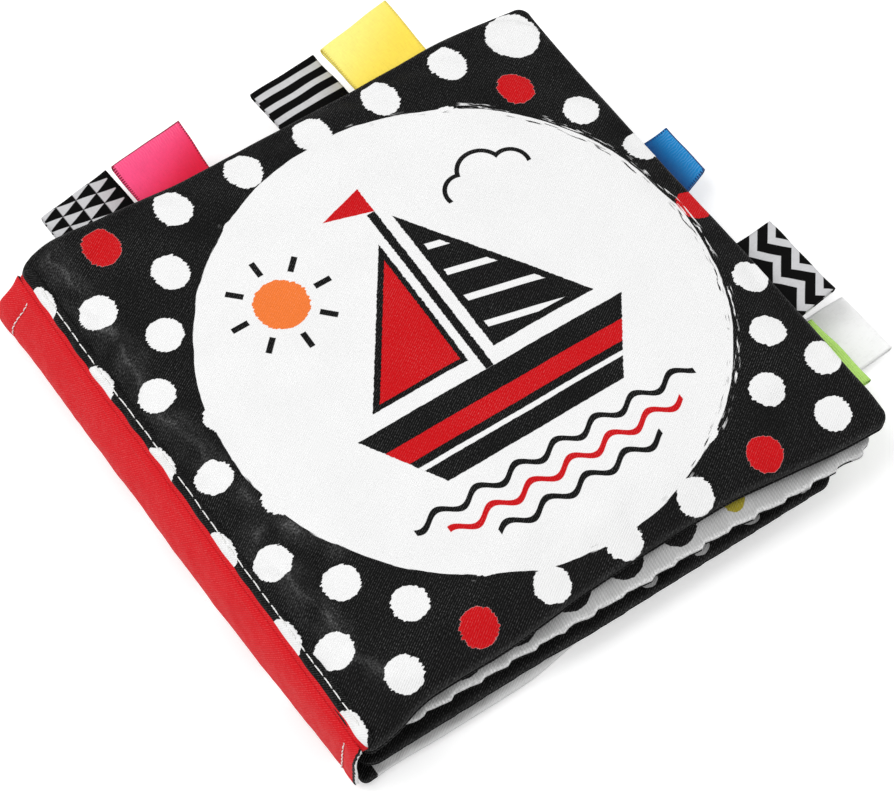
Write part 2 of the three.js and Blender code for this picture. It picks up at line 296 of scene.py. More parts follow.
def camera():
    """The photograph's view: its eye, the way that it looks and its roll."""
    eye = np.array([-220.06, -285.89, 616.4])
    azimuth, elevation, roll = np.radians([37.34, 60.75, 3.78])
    lens = 98.98
    sensor = 36.0
    look = np.array(
        [
            math.sin(azimuth) * math.cos(elevation),
            math.cos(azimuth) * math.cos(elevation),
            -math.sin(elevation),
        ]
    )
    level = np.array([math.cos(azimuth), -math.sin(azimuth), 0.0])
    upright = np.cross(level, look)
    right = level * math.cos(roll) + upright * math.sin(roll)
    up = upright * math.cos(roll) - level * math.sin(roll)
    data = bpy.data.cameras.new("camera")
    data.lens = lens
    data.sensor_width = sensor
    data.sensor_fit = "HORIZONTAL"
    made = linked("camera", data)
    matrix = np.eye(4)
    matrix[:3, 0], matrix[:3, 1], matrix[:3, 2] = right, up, -look
    matrix[:3, 3] = eye * MM
    made.matrix_world = matrix.T.tolist()
    bpy.context.scene.camera = made


camera()


# Materials
class Value:
    """A number that a material's nodes work out at each point."""

    def __init__(self, shade, socket):
        self.shade, self.socket = shade, socket

    def calc(self, operation, *others):
        return self.shade.calc(operation, self, *others)

    def __add__(self, other):
        return self.calc("ADD", other)

    def __sub__(self, other):
        return self.calc("SUBTRACT", other)

    def __rsub__(self, other):
        return self.shade.calc("SUBTRACT", other, self)

    def __mul__(self, other):
        return self.calc("MULTIPLY", other)

    def __truediv__(self, other):
        return self.calc("DIVIDE", other)

    def size(self):
        return self.calc("ABSOLUTE")

    def low(self, other):
        return self.calc("MINIMUM", other)

    def high(self, other):
        return self.calc("MAXIMUM", other)

    def wrapped(self, period):
        """The distance to the nearest multiple of period, with its sign."""
        return self.calc("WRAP", period / 2, -period / 2)

    def wave(self):
        return self.calc("SINE")

    def ribs(self, period):
        """Waves of this period, from -1 to 1."""
        return (self * (2 * math.pi / period)).wave()


def length(x, y):
    return (x * x + y * y).calc("SQRT")


def highest(values):
    """The highest of some values, at each point."""
    first, *others = values
    for other in others:
        first = first.high(other)
    return first


def lowest(values):
    """The lowest of some values, at each point."""
    first, *others = values
    for other in others:
        first = first.low(other)
    return first


# The sockets of a mix node's colours
MIX_FIRST = 6
MIX_SECOND = 7
MIX_RESULT = 2

# The soft width of a print's edge
PRINT_EDGE = 0.16


class Shade:
    """One material, and the colour that is painted on it so far."""

    def __init__(self, name, colour=None):
        self.material = bpy.data.materials.new(name)
        self.material.use_nodes = True
        self.tree = self.material.node_tree
        self.tree.nodes.clear()
        self.colour = colour

    def feed(self, socket, value):
        if isinstance(value, Value):
            value = value.socket
        if isinstance(value, bpy.types.NodeSocket):
            self.tree.links.new(value, socket)
        else:
            socket.default_value = value

    def node(self, kind, inputs=None, **options):
        made = self.tree.nodes.new(kind)
        for name, option in options.items():
            setattr(made, name, option)
        for name, value in (inputs or {}).items():
            self.feed(made.inputs[name], value)
        return made

    def calc(self, operation, *values):
        made = self.node("ShaderNodeMath", operation=operation)
        for socket, value in zip(made.inputs, values):
            self.feed(socket, value)
        return Value(self, made.outputs[0])

    def place(self, name):
        """The three numbers that a mesh keeps under this name: two of place, in millimetres, and
        one for how much painted highlight, which is partly rubbed wear, lies along its creases and
        seams."""
        kept = self.node("ShaderNodeAttribute", attribute_name=name)
        split = self.node("ShaderNodeSeparateXYZ", {"Vector": kept.outputs["Vector"]})
        return tuple(Value(self, split.outputs[axis]) for axis in "XYZ")

    def noise(self, x, y, detail=2.0, layer=0.0):
        """Noise from about -1 to 1."""
        place = self.node("ShaderNodeCombineXYZ", {"X": x, "Y": y, "Z": layer}).outputs[0]
        inputs = {"Vector": place, "Scale": 1.0, "Detail": detail}
        return Value(self, self.node("ShaderNodeTexNoise", inputs).outputs[0]) * 2 - 1

    def ramp(self, value, low, high):
        """0 up to low and 1 from high, with a smooth step between them."""
        inputs = {"Value": value, "From Min": low, "From Max": high}
        made = self.node("ShaderNodeMapRange", inputs, interpolation_type="SMOOTHSTEP")
        return Value(self, made.outputs["Result"])

    def mix(self, share, first, second, blend_type="MIX"):
        inputs = {"Factor": share, MIX_FIRST: first, MIX_SECOND: second}
        made = self.node("ShaderNodeMix", data_type="RGBA", blend_type=blend_type)
        for key, value in inputs.items():
            self.feed(made.inputs[key], value)
        return made.outputs[MIX_RESULT]

    def lighter(self, colour, light):
        """The colour with this much white light added."""
        return self.mix(1.0, colour, light, blend_type="ADD")

    def tinted(self, colour, brightness):
        """The colour, times a brightness."""
        inputs = {"Color": colour, "Value": brightness}
        return self.node("ShaderNodeHueSaturation", inputs).outputs[0]

    def paint(self, distance, colour):
        """Lays a colour wherever the distance to a shape's outline is below zero."""
        inside = self.calc("MULTIPLY_ADD", distance, -1 / PRINT_EDGE, 0.5)
        inside.socket.node.use_clamp = True
        self.colour = self.mix(inside, self.colour, colour)

    def finish(self, height, bump, colour, roughness, **settings):
        """The material's surface. The settings are the shader's own constants."""
        raised = {"Height": height, "Distance": bump * MM, "Strength": 1.0}
        normal = self.node("ShaderNodeBump", raised).outputs[0]
        surface = {"Base Color": colour, "Roughness": roughness, "Normal": normal}
        shader = self.node("ShaderNodeBsdfPrincipled", surface)
        for name, value in settings.items():
            shader.inputs[name.replace("_", " ")].default_value = value
        self.node("ShaderNodeOutputMaterial", {"Surface": shader.outputs[0]})
        return self.material


def srgb(code):
    """A colour as it is seen on a screen, such as 0xd8202c, as the shader takes it."""
    parts = [((code >> shift) & 255) / 255 for shift in (16, 8, 0)]
    linear = [p / 12.92 if p <= 0.04045 else ((p + 0.055) / 1.055) ** 2.4 for p in parts]
    return (*linear, 1.0)


# Colours
BLACK = srgb(0x090909)
WHITE = srgb(0xF0F0F0)
SHADE_WHITE = srgb(0xDEDEDE)
RED = srgb(0xC80912)
SPINE_RED = srgb(0xD6141E)
# The leaves' white, painted grey: painted shade, as these pages lie in the covers' shadow
SHADED_PAGE_WHITE = srgb(0xB6B6B6)
RIBBON_BLACK = srgb(0x060606)
ORANGE = srgb(0xF07A35)
# Yellow darkened to olive: painted shade, as the spot at the foot edge lies in shadow
SHADED_YELLOW = srgb(0x968A2A)
RIBBON_GREY = srgb(0xD0D0D2)

# The cloth's weave with its glint, partly painted sheen, and the painted highlight along
# creases and seams, partly rubbed wear
TWILL_PITCH = 0.6
TWILL_TURN = math.radians(-57)
TWILL_BEND = 2.5
WEAVE_LIGHT = 0.035
WEAVE_BUMP = 0.09
WEAVE_GLINT = 0.045
HIGHLIGHT_AND_WEAR_LIGHT = 0.085
CLOTH_ROUGHNESS = 0.6
CLOTH = {"Sheen_Weight": 0.01, "Sheen_Roughness": 0.5, "Specular_IOR_Level": 0.07}


class Cloth(Shade):
    """Printed cotton: a fine slanting weave with a print on it, drawn with a dry brush."""

    def __init__(self, name, ground, brush=1.0):
        super().__init__(name, ground)
        self.x, self.y, self.worn_and_lit = self.place("page")
        x, y = self.x, self.y
        streaks = self.noise(x * 0.22, y * 1.35, detail=3.0)
        grain = self.noise(x * 0.5, y * 0.5, layer=7.0)
        self.brush_x = x + streaks * (1.25 * brush) + grain * (0.5 * brush)
        self.brush_y = y + self.noise(x * 0.6, y * 0.4, layer=3.0) * (0.55 * brush)

    def circle(self, centre, radius, rough=True):
        x, y = (self.brush_x, self.brush_y) if rough else (self.x, self.y)
        return length(x - centre[0], y - centre[1]) - radius

    def polygon(self, corners, rough=0.35):
        """The distance to a convex polygon, whose corners run clockwise."""
        x = self.x + (self.brush_x - self.x) * rough
        y = self.y + (self.brush_y - self.y) * rough
        sides = []
        for (ax, ay), (bx, by) in zip(corners, corners[1:] + corners[:1]):
            span = math.hypot(bx - ax, by - ay)
            nx, ny = (ay - by) / span, (bx - ax) / span
            sides.append(x * nx + y * ny - (ax * nx + ay * ny))
        return highest(sides)

    def square(self, half):
        """The distance to a square round the middle of the page."""
        return self.x.size().high(self.y.size()) - half

    def weave(self):
        """Height and brightness of the weave, from about -1 to 1."""
        turn = 2 * math.pi / TWILL_PITCH
        along = self.x * (turn * math.cos(TWILL_TURN)) + self.y * (turn * math.sin(TWILL_TURN))
        across = self.x * (turn * math.sin(-TWILL_TURN)) + self.y * (turn * math.cos(TWILL_TURN))
        bent = along + self.noise(self.x * 0.08, self.y * 0.08, layer=11.0) * TWILL_BEND
        return bent.wave() * 0.85 + (across * 0.5).wave() * 0.12

    def done(self, **settings):
        weave = self.weave()
        yarn = self.noise(self.x * 1.7, self.y * 1.7, layer=5.0)
        cloudy = self.noise(self.x * 0.05, self.y * 0.05, detail=3.0, layer=2.0)
        bright = weave * WEAVE_LIGHT + yarn * 0.02 + cloudy * 0.03 + 1
        colour = self.tinted(self.colour, bright)
        glint = (weave + yarn * 1.2 - 0.1).high(0.0)
        # Painted highlight along creases and seams, partly rubbed wear, added as white light
        rubbed_and_lit = self.worn_and_lit * (yarn * 1.6 + 0.7).high(0.0)
        shine = (cloudy * 1.2 + 1).high(0.2) * WEAVE_GLINT
        colour = self.lighter(colour, glint * glint * shine + rubbed_and_lit * HIGHLIGHT_AND_WEAR_LIGHT)
        coarse = self.noise(self.x * 0.16, self.y * 0.16, layer=9.0)
        height = weave * 0.5 + yarn * 0.4 + coarse * 2.2
        rough = cloudy * 0.05 + weave * 0.03 + CLOTH_ROUGHNESS
        return self.finish(height, WEAVE_BUMP, colour, rough, **{**CLOTH, **settings})


# Places of the prints, counted from the middle of the page
DOT_PITCH_X = 11.7
DOT_PITCH_Y = 15.45
DOT_START_X = -79.7
DOT_RADIUS = 5.25
DOT_SPACE = 3.0
DOTS_HALF_X = 85.6
DOTS_HALF_Y = 84.6
ROW_SHIFT = 1.5
ROW_LEAN_SHARE = 0.037
ROW_BEND_FROM = 35.0
ROW_BEND = 0.0029
COLUMN_SPREAD_SHARE = 0.012
DISC_CENTRE = (2.1, -0.1)
DISC_RADIUS = 74.8
RED_DOTS = ((-68.0, 77.25), (60.7, 61.8), (49.0, -77.25), (-44.6, -77.25))
FORE_DOTS = ((81.2, 24.4), (80.6, -28.9), (81.8, -60.7))
FORE_RED_DOT = (81.9, -0.5)
FORE_DOTS_FROM = 79.2
HIDDEN_DOTS = ((72.4, 15.45), (72.4, -15.45))
PLAIN_DOT = (72.4, 77.3)
PLAIN_DOT_RADIUS = 8.2
RED_FROM = 2.5
SPINE_BLACK_FROM = 86.1
BACK_BLACK_TO = 83.5
RIDGE_DOT_START = 11.6
RIDGE_DOT_PITCH = 30.6
RIDGE_DOT_RADIUS = 5.7
RIDGE_DOT_NARROWING = 1.4


def dots(cloth, red=()):
    """Staggered rows of brushed dots. The rows lean a little, and bend towards the head."""
    past = (cloth.y - ROW_BEND_FROM).high(0.0)
    rows = cloth.brush_y + cloth.y * ROW_LEAN_SHARE + ROW_SHIFT - past * past * ROW_BEND
    columns = cloth.brush_x - cloth.x.high(0.0) * COLUMN_SPREAD_SHARE
    staggered = []
    for step in (0, 1):
        x = (columns - (DOT_START_X + step * DOT_PITCH_X)).wrapped(2 * DOT_PITCH_X)
        y = (rows - step * DOT_PITCH_Y).wrapped(2 * DOT_PITCH_Y)
        staggered.append(length(x, y) - DOT_RADIUS)
    near = lowest(staggered).high(cloth.y.size() - DOTS_HALF_Y)
    near = near.high(cloth.x * -1 - DOTS_HALF_X).high(cloth.x - FORE_DOTS_FROM)
    for centre in HIDDEN_DOTS:
        near = near.high(cloth.circle(centre, DOT_RADIUS + DOT_SPACE) * -1)
    for centre in FORE_DOTS:
        near = near.low(cloth.circle(centre, DOT_RADIUS))
    cloth.paint(near, WHITE)
    for centre in red:
        cloth.paint(near.high(cloth.circle(centre, DOT_RADIUS + DOT_SPACE)), RED)
    if red:
        cloth.paint(cloth.circle(FORE_RED_DOT, DOT_RADIUS), RED)


def disc(cloth):
    """A big white disc with a brushed edge, drier on one side."""
    x, y = cloth.x - DISC_CENTRE[0], cloth.y - DISC_CENTRE[1]
    radius = length(x, y)
    turn = cloth.calc("ARCTAN2", y, x)
    strokes = cloth.noise(turn * 9.0, radius * 1.1, detail=3.0, layer=21.0)
    wobble = cloth.noise(turn * 3.0, 0.0, detail=4.0, layer=17.0)
    cloth.paint(radius - DISC_RADIUS + strokes * 0.7 + wobble * 0.8, WHITE)
    patches = cloth.noise(turn * 5.0, 0.0, layer=25.0)
    dry = cloth.noise(turn * 16.0, radius * 1.6, layer=27.0)
    clean = x * -0.004 + 0.2

    def hairs(out, half, share):
        """Dry hairs of the brush, this far out of the disc's edge."""
        return (share - dry).high((radius - (DISC_RADIUS + out)).size() - half)

    cloth.paint(hairs(out=1.2, half=0.8, share=0.18).high(clean - patches), WHITE)
    cloth.paint(hairs(out=-1.1, half=0.5, share=0.14).high(clean + patches), BLACK)


def cover_print():
    """Dots round a big white disc with a sailing boat."""
    cloth = Cloth("cover_print", BLACK)
    dots(cloth, red=RED_DOTS)
    cloth.paint(cloth.circle(PLAIN_DOT, PLAIN_DOT_RADIUS), WHITE)
    disc(cloth)
    boat(cloth)
    return cloth.done()


def spine_print():
    """Black cloth with a row of half dots beyond the ridge's stitches, and then red."""
    cloth = Cloth("spine_print", BLACK)
    row = (cloth.brush_y - RIDGE_DOT_START).wrapped(RIDGE_DOT_PITCH)
    dot = length((cloth.brush_x - RED_FROM) * RIDGE_DOT_NARROWING, row) - RIDGE_DOT_RADIUS
    cloth.paint(dot, WHITE)
    edge = cloth.noise(0.0, cloth.y * 0.08, layer=4.0) * 0.25
    cloth.paint(cloth.x * -1 + RED_FROM + edge, SPINE_RED)
    cloth.paint(cloth.y + SPINE_BLACK_FROM + edge, BLACK)
    return cloth.done(Sheen_Weight=0.02)


def boat(cloth):
    """A sailing boat with the sun, a cloud and three waves."""
    hull = [(-42.0, -14.0), (46.0, -14.0), (30.0, -37.0), (-28.0, -37.0)]
    stripe = [(-40.0, -21.0), (50.0, -21.0), (50.0, -27.0), (-40.0, -27.0)]
    thin_stripe = [(-40.0, -29.5), (50.0, -29.5), (50.0, -31.0), (-40.0, -31.0)]
    mast = [(0.0, 46.0), (2.6, 46.0), (2.6, -14.0), (0.0, -14.0)]
    big_sail = [(6.0, 42.0), (40.0, -9.0), (6.0, -9.0)]
    small_outline = [(-2.5, 36.0), (-2.5, -9.0), (-34.0, -9.0)]
    small_sail = [(-4.2, 30.5), (-4.2, -7.4), (-30.5, -7.4)]
    pennant = [(2.6, 55.0), (2.6, 46.0), (-12.0, 50.5)]
    hull_shape = cloth.polygon(hull)
    cloth.paint(hull_shape, BLACK)
    cloth.paint(cloth.polygon(stripe).high(hull_shape), RED)
    cloth.paint(cloth.polygon(thin_stripe).high(hull_shape), WHITE)
    cloth.paint(cloth.polygon(mast), BLACK)
    sail = cloth.polygon(big_sail)
    cloth.paint(sail, BLACK)
    lean_share, band_pitch, band_half, margin = 0.25, 10.0, 1.1, 2.2
    bands = (cloth.y + cloth.x * lean_share).wrapped(band_pitch).size() - band_half
    cloth.paint(bands.high(sail + margin), WHITE)
    cloth.paint(cloth.polygon(small_outline), BLACK)
    cloth.paint(cloth.polygon(small_sail), RED)
    cloth.paint(cloth.polygon(pennant), RED)
    sun = (-36.0, 34.0)
    sun_radius = 8.0
    x, y = cloth.x - sun[0], cloth.y - sun[1]
    far = length(x, y)
    turn = cloth.calc("ARCTAN2", y, x).wrapped(math.pi / 4)
    ray_half, ray_middle, ray_reach = 0.9, 13.5, 2.6
    ray = ((turn * far).size() - ray_half).high((far - ray_middle).size() - ray_reach)
    cloth.paint(ray, BLACK)
    cloth.paint(cloth.circle(sun, sun_radius), ORANGE)
    wave_pitch, wave_height, wave_half, wave_middle = 13.0, 1.6, 0.95, 2.0
    for height, reach, colour in ((-44.0, 46.0, BLACK), (-50.5, 38.0, RED), (-57.0, 27.0, BLACK)):
        crest = (cloth.x * (2 * math.pi / wave_pitch) + height).wave() * wave_height
        line = (cloth.y - height - crest).size() - wave_half
        cloth.paint(line.high((cloth.x - wave_middle).size() - reach), colour)
    puffs = (((28.0, 38.0), 5.5), ((36.0, 41.0), 7.0), ((44.5, 38.0), 5.5))
    puff_half, cloud_from = 0.7, 36.5
    cloud = lowest([cloth.circle(centre, radius, rough=False) for centre, radius in puffs])
    cloth.paint((cloud.size() - puff_half).high(cloud_from - cloth.y), BLACK)


def dotted_print():
    """Black cloth with the cover's white dots only."""
    cloth = Cloth("dotted_print", BLACK)
    dots(cloth)
    return cloth.done()


def scallop_print():
    """A white page, painted grey as shade, with a black scalloped border, rings in the middle and
    a few small spots.
    """
    cloth = Cloth("scallop_print", SHADED_PAGE_WHITE, brush=0.6)
    pitch, start = 17.6, 1.0
    row_y, row_radius, row_to = 77.0, 6.4, 27.5
    side_x, side_radius, side_to = 64.0, 7.2, 62.0
    ring_half, middle_radius, spot_radius = 2.4, 6.0, 3.1
    beads_x = (cloth.brush_x - start).wrapped(pitch)
    beads_y = cloth.brush_y.wrapped(pitch)
    row = length(beads_x, cloth.brush_y.size() - row_y) - row_radius
    side = length(cloth.brush_x - side_x, beads_y) - side_radius
    row, side = row.high(cloth.x - row_to), side.high(cloth.y.size() - side_to)
    cloth.paint(row.low(side), BLACK)
    for radius in (34.0, 24.0, 14.0):
        cloth.paint(cloth.circle((0.0, 0.0), radius).size() - ring_half, BLACK)
    cloth.paint(cloth.circle((0.0, 0.0), middle_radius), RED)
    # The spots' yellow is darkened as painted shade
    for centre in ((36.7, -80.2), (-46.0, -66.0), (48.0, 52.0), (-52.0, 44.0)):
        cloth.paint(cloth.circle(centre, spot_radius), SHADED_YELLOW)
    rib_pitch = 0.95
    ribs = cloth.x.ribs(rib_pitch) + cloth.noise(cloth.x * 1.5, cloth.y * 0.4) * 1.5
    cloth.colour = cloth.tinted(cloth.colour, ribs * 0.09 + 1)
    return cloth.done()


def edge_dot_print():
    """Black cloth with rows of small white dots, painted grey as shade."""
    pitch, start_x, start_y, radius = 17.5, 5.3, 73.0, 3.3
    cloth = Cloth("edge_dot_print", BLACK, brush=0.6)
    x = (cloth.brush_x - start_x).wrapped(pitch)
    y = (cloth.brush_y.size() - start_y).wrapped(pitch)
    cloth.paint(length(x, y) - radius, SHADED_PAGE_WHITE)
    return cloth.done()


def triangle_print():
    """Black cloth with white triangles inside a border of small dots, whose white is painted grey as
    shade.
    """
    pitch_x, pitch_y, base, inner, border = 26.0, 24.0, 7.0, 4.6, 68.0
    dot_pitch, dot_start, dot_y, dot_radius, dots_from = 17.5, 6.3, 82.6, 3.4, 5.0
    cloth = Cloth("triangle_print", BLACK, brush=0.5)
    x, y = cloth.brush_x.wrapped(pitch_x), cloth.brush_y.wrapped(pitch_y)
    sides = (y * -1 - base).high(x.size() * 0.86 + y * 0.5 - inner)
    cloth.paint(sides.high(cloth.square(border)), WHITE)
    dot_x = (cloth.brush_x - dot_start).wrapped(dot_pitch)
    dot = length(dot_x, cloth.brush_y.size() - dot_y) - dot_radius
    cloth.paint(dot.high(cloth.x * -1 - dots_from), SHADED_PAGE_WHITE)
    return cloth.done()


def wave_print():
    """Black cloth with rows of white waves."""
    pitch_x, pitch_y, height, half, border = 22.0, 14.0, 3.0, 2.4, 70.0
    cloth = Cloth("wave_print", BLACK, brush=0.5)
    crest = cloth.x.ribs(pitch_x) * height
    line = (cloth.y + crest).wrapped(pitch_y).size() - half
    cloth.paint(line.high(cloth.square(border)), WHITE)
    return cloth.done()


def chevron_print():
    """A white page with black zigzags, and black beside the spine."""
    pitch_x, pitch_y, slope_share, start, half, border = 24.0, 18.0, 0.8, 64.0, 3.0, 60.0
    cloth = Cloth("chevron_print", SHADE_WHITE, brush=0.5)
    zigzag = cloth.x.wrapped(pitch_x).size() * slope_share
    band = (cloth.y.size() * -1 + start + zigzag).wrapped(pitch_y).size() - half
    cloth.paint(band.high(cloth.square(border)), BLACK)
    cloth.paint(cloth.x + BACK_BLACK_TO, BLACK)
    return cloth.done()


class Ribbon(Shade):
    """Woven ribbon. Its place is counted across and along the strip, in millimetres."""

    def __init__(self, name, ground):
        super().__init__(name, ground)
        self.across, self.along, _ = self.place("strip")

    def selvedge(self, half_width, colour):
        """Short loops of thread along both sides."""
        pitch, width, loop = 0.9, 0.55, -0.4
        edge = self.across.size() * -1 + half_width - width
        self.paint(edge.high(self.along.ribs(pitch) * loop), colour)

    def done(self, ribs=0.25, rib_light=0.03, bump=0.03, roughness=0.34, **settings):
        fine, cross = self.along.ribs(ribs), self.across.ribs(ribs * 2)
        cloudy = self.noise(self.across * 0.3, self.along * 0.12, layer=4.0)
        thread = self.noise(self.across * 1.6, self.along * 0.45, layer=6.0)
        cross_thread = self.noise(self.across * 0.35, self.along * 3.0, detail=1.0, layer=8.0)
        bright = fine * rib_light + thread * 0.09 + cross_thread * 0.05 + cloudy * 0.04 + 1
        colour = self.tinted(self.colour, bright)
        height = fine * 0.6 + cross * 0.2 + thread * 0.8
        rough = cloudy * 0.06 + roughness
        return self.finish(height, bump, colour, rough, **{"Specular_IOR_Level": 0.06, **settings})


FOLD_LINE = 0.85
PRINTED = {"roughness": 0.6, "rib_light": 0.05}
SATIN = {"Anisotropic": 0.5, "Sheen_Weight": 0.02, "Specular_IOR_Level": 0.16}


def satin(name, fold, base, start, end, half_width, loops, lean=0.0, pucker=0.0):
    """Satin ribbon with looped sides, whose colour changes from a painted highlight at its fold to
    painted shade at its base.
    """
    ribbon = Ribbon(name, fold)
    # Painted highlight at the fold, fading to painted shade towards the base
    run = ribbon.along.size() + ribbon.across * lean
    ribbon.colour = ribbon.mix(ribbon.ramp(run, start, end), fold, base)
    # Painted highlights on the crinkles near the fold, and a painted shade line at the fold
    if pucker:
        sway = ribbon.noise(ribbon.across * 0.5, ribbon.along * 0.5) * 6.0
        lines = (ribbon.across * 7.4 + sway).wave()
        near = ribbon.ramp(ribbon.along.size() * -1, -7.0, 0.0)
        ribbon.colour = ribbon.lighter(ribbon.colour, lines.high(0.0) * near * pucker)
        ribbon.paint(ribbon.along.size() - FOLD_LINE, loops)
    ribbon.selvedge(half_width, loops)
    return ribbon.done(**SATIN)


def striped_ribbon():
    start, pitch, half = 1.1, 4.95, 1.42
    ribbon = Ribbon("striped_ribbon", RIBBON_GREY)
    ribbon.paint((ribbon.along - start).wrapped(pitch).size() - half, RIBBON_BLACK)
    return ribbon.done(**PRINTED)


def triangle_ribbon():
    """Columns of light triangles that point across the ribbon, on black."""
    ribbon = Ribbon("triangle_ribbon", RIBBON_BLACK)
    width, height, slope_share, gap_share = 6.2, 4.0, 0.8, 0.05
    start_across, start_along, cut_across = 13.4, 1.2, 10.9
    column = (ribbon.across + start_across) / width
    stagger = column.calc("FLOOR") * 0.5
    place = (ribbon.along + start_along) / height + stagger
    half = (place.calc("FRACT") - 0.5).size()
    inside = half - (1 - column.calc("FRACT")) * 0.5
    inside = inside.high((ribbon.across - cut_across) / width).high(gap_share - column.calc("FRACT"))
    ribbon.paint(inside * height * slope_share, RIBBON_GREY)
    return ribbon.done(**PRINTED)


def chevron_ribbon():
    ribbon = Ribbon("chevron_ribbon", RIBBON_BLACK)
    pitch_across, start_across, slope_share, start_along = 10.5, 8.75, -0.95, 12.2
    pitch, half = 7.4, 1.6
    zigzag = (ribbon.across + start_across).wrapped(pitch_across).size() * slope_share + start_along
    place = ribbon.along - zigzag
    band = place.wrapped(pitch).size() - half
    ribbon.paint(band.high(place - pitch / 2), RIBBON_GREY)
    return ribbon.done(**PRINTED)


def green_ribbon():
    """Ribbed ribbon with a painted shade line at its fold."""
    ribbon = Ribbon("green_grosgrain", srgb(0xC2F07E))
    # A darker green at the fold: painted shade
    ribbon.paint(ribbon.along - 0.35, srgb(0x6C9A38))
    return ribbon.done(ribs=0.7, rib_light=0.05, bump=0.1, roughness=0.7)


def thread_shade():
    """White thread, whose place is counted round it and along it."""
    shade = Shade("thread_white")
    x, y, _ = shade.place("strip")
    twist = ((y * 6.0) + x * 2.0).wave()
    fuzz = shade.noise(x * 2.0, y * 2.0)
    colour = shade.tinted(srgb(0xF4F4F2), twist * 0.05 + fuzz * 0.03 + 1)
    return shade.finish(twist, 0.04, colour, fuzz * 0.1 + 0.55, Sheen_Weight=0.1)


# Meshes
def mesh_piece(name, points, faces, materials=(), attributes=None, slots=None):
    """An object from points in millimetres in the book's own frame."""
    data = bpy.data.meshes.new(name)
    placed = (np.asarray(points, float) + SHIFT) * MM
    data.vertices.add(len(placed))
    data.vertices.foreach_set("co", placed.astype(np.float32).ravel())
    data.loops.add(faces.size)
    data.loops.foreach_set("vertex_index", faces.astype(np.int32).ravel())
    data.polygons.add(len(faces))
    data.polygons.foreach_set("loop_start", np.arange(0, faces.size, 4, dtype=np.int32))
    data.update(calc_edges=True)
    data.validate()
    data.polygons.foreach_set("use_smooth", np.ones(len(faces), bool))
    if slots is not None:
        data.polygons.foreach_set("material_index", slots.astype(np.int32))
    for key, values in (attributes or {}).items():
        made = data.attributes.new(key, "FLOAT_VECTOR", "POINT")
        full = np.zeros((len(placed), 3), np.float32)
        full[:, : values.shape[1]] = values
        made.data.foreach_set("vector", full.ravel())
    for material in materials:
        data.materials.append(material)
    data.update()
    return linked(name, data)


def grid_faces(columns, rows, first=0, flip=False):
    """The faces of a grid of points, whose number is first + column * rows + row."""
    i, j = np.meshgrid(np.arange(columns - 1), np.arange(rows - 1), indexing="ij")
    a = (first + i * rows + j).ravel()
    corners = np.stack([a, a + rows, a + rows + 1, a + 1], -1)
    return corners[:, ::-1] if flip else corners


def rim_order(columns, rows):
    """The numbers of a grid's outer points, in their order round it."""
    i, j = np.arange(columns), np.arange(rows)
    start, end = i[:-1] * rows, (columns - 1) * rows + j[:-1]
    return np.concatenate([start, end, i[:0:-1] * rows + rows - 1, j[:0:-1]])


def ring_faces(lower, upper):
    """The faces between two closed rings of points."""
    return np.stack([lower, np.roll(lower, -1), np.roll(upper, -1), upper], -1)


def closed_faces(columns, rows, flip=False):
    """The faces of a grid of points, of another behind it, and of the rim between the two."""
    count = columns * rows
    rim = rim_order(columns, rows)
    rings = (rim, rim + count) if flip else (rim + count, rim)
    face = grid_faces(columns, rows, flip=flip)
    behind = grid_faces(columns, rows, first=count, flip=not flip)
    return np.concatenate([face, behind, ring_faces(*rings)])


def run_along(points):
    """The distance from the first point to each of them, along the line through them."""
    return np.concatenate([[0], np.cumsum(np.linalg.norm(np.diff(points, axis=0), axis=1))])


def smooth_noise(x, y, pitch, seed):
    """Soft bumps from -1 to 1, about as wide as pitch."""
    random = np.random.default_rng(seed)
    total = np.zeros(np.broadcast(x, y).shape)
    waves = 14
    for _ in range(waves):
        turn, start = random.uniform(0, 2 * np.pi, 2)
        count = 2 * np.pi / (pitch * random.uniform(0.75, 1.7))
        total = total + np.sin(count * (x * np.cos(turn) + y * np.sin(turn)) + start)
    return total / math.sqrt(waves)


def bell(distance, width):
    return np.exp(-((distance / width) ** 2))


def crowded(steps):
    even = np.linspace(-1, 1, steps + 1)
    return even * (1 - CROWDING) + np.sin(even * np.pi / 2) * CROWDING


def rounded(x, y, half_x, half_y, radius):
    """A rectangle's grid with its corners made round."""
    over_x = np.maximum(0, np.abs(x) - (half_x - radius))
    over_y = np.maximum(0, np.abs(y) - (half_y - radius))
    diagonal = 2 * radius**2
    new_x = np.where(over_y > 0, over_x * np.sqrt(1 - over_y**2 / diagonal), over_x)
    new_y = np.where(over_x > 0, over_y * np.sqrt(1 - over_x**2 / diagonal), over_y)
    return x - np.sign(x) * (over_x - new_x), y - np.sign(y) * (over_y - new_y)


def smooth_step(share):
    share = np.clip(share, 0, 1)
    return share * share * (3 - 2 * share)


def softened(table, y):
    """A table of places and values, read at y and smoothed."""
    places, values = np.array(table).T
    fine_steps, reach = 200, 6
    window = 2 * reach + 1
    fine = np.linspace(places[0], places[-1], fine_steps)
    steps = np.pad(np.interp(fine, places, values), reach, mode="edge")
    return np.interp(y, fine, np.convolve(steps, np.ones(window) / window, mode="valid"))


def ridge_swing(y):
    """How far the front ridge lies from its straight place."""
    return softened(RIDGE_SWING, y)


def low_share(z):
    """How much of the spine's own swing a height takes, from 0 at the ridge to 1 low down."""
    return smooth_step((SWING_HIGH - z) / (SWING_HIGH - SWING_LOW))


def spine_swing(y, z):
    """How far the spine lies from its straight place: the ridge's swing at the top, its own below."""
    low = low_share(z)
    return ridge_swing(y) * (1 - low) + softened(SPINE_SWING, y) * low


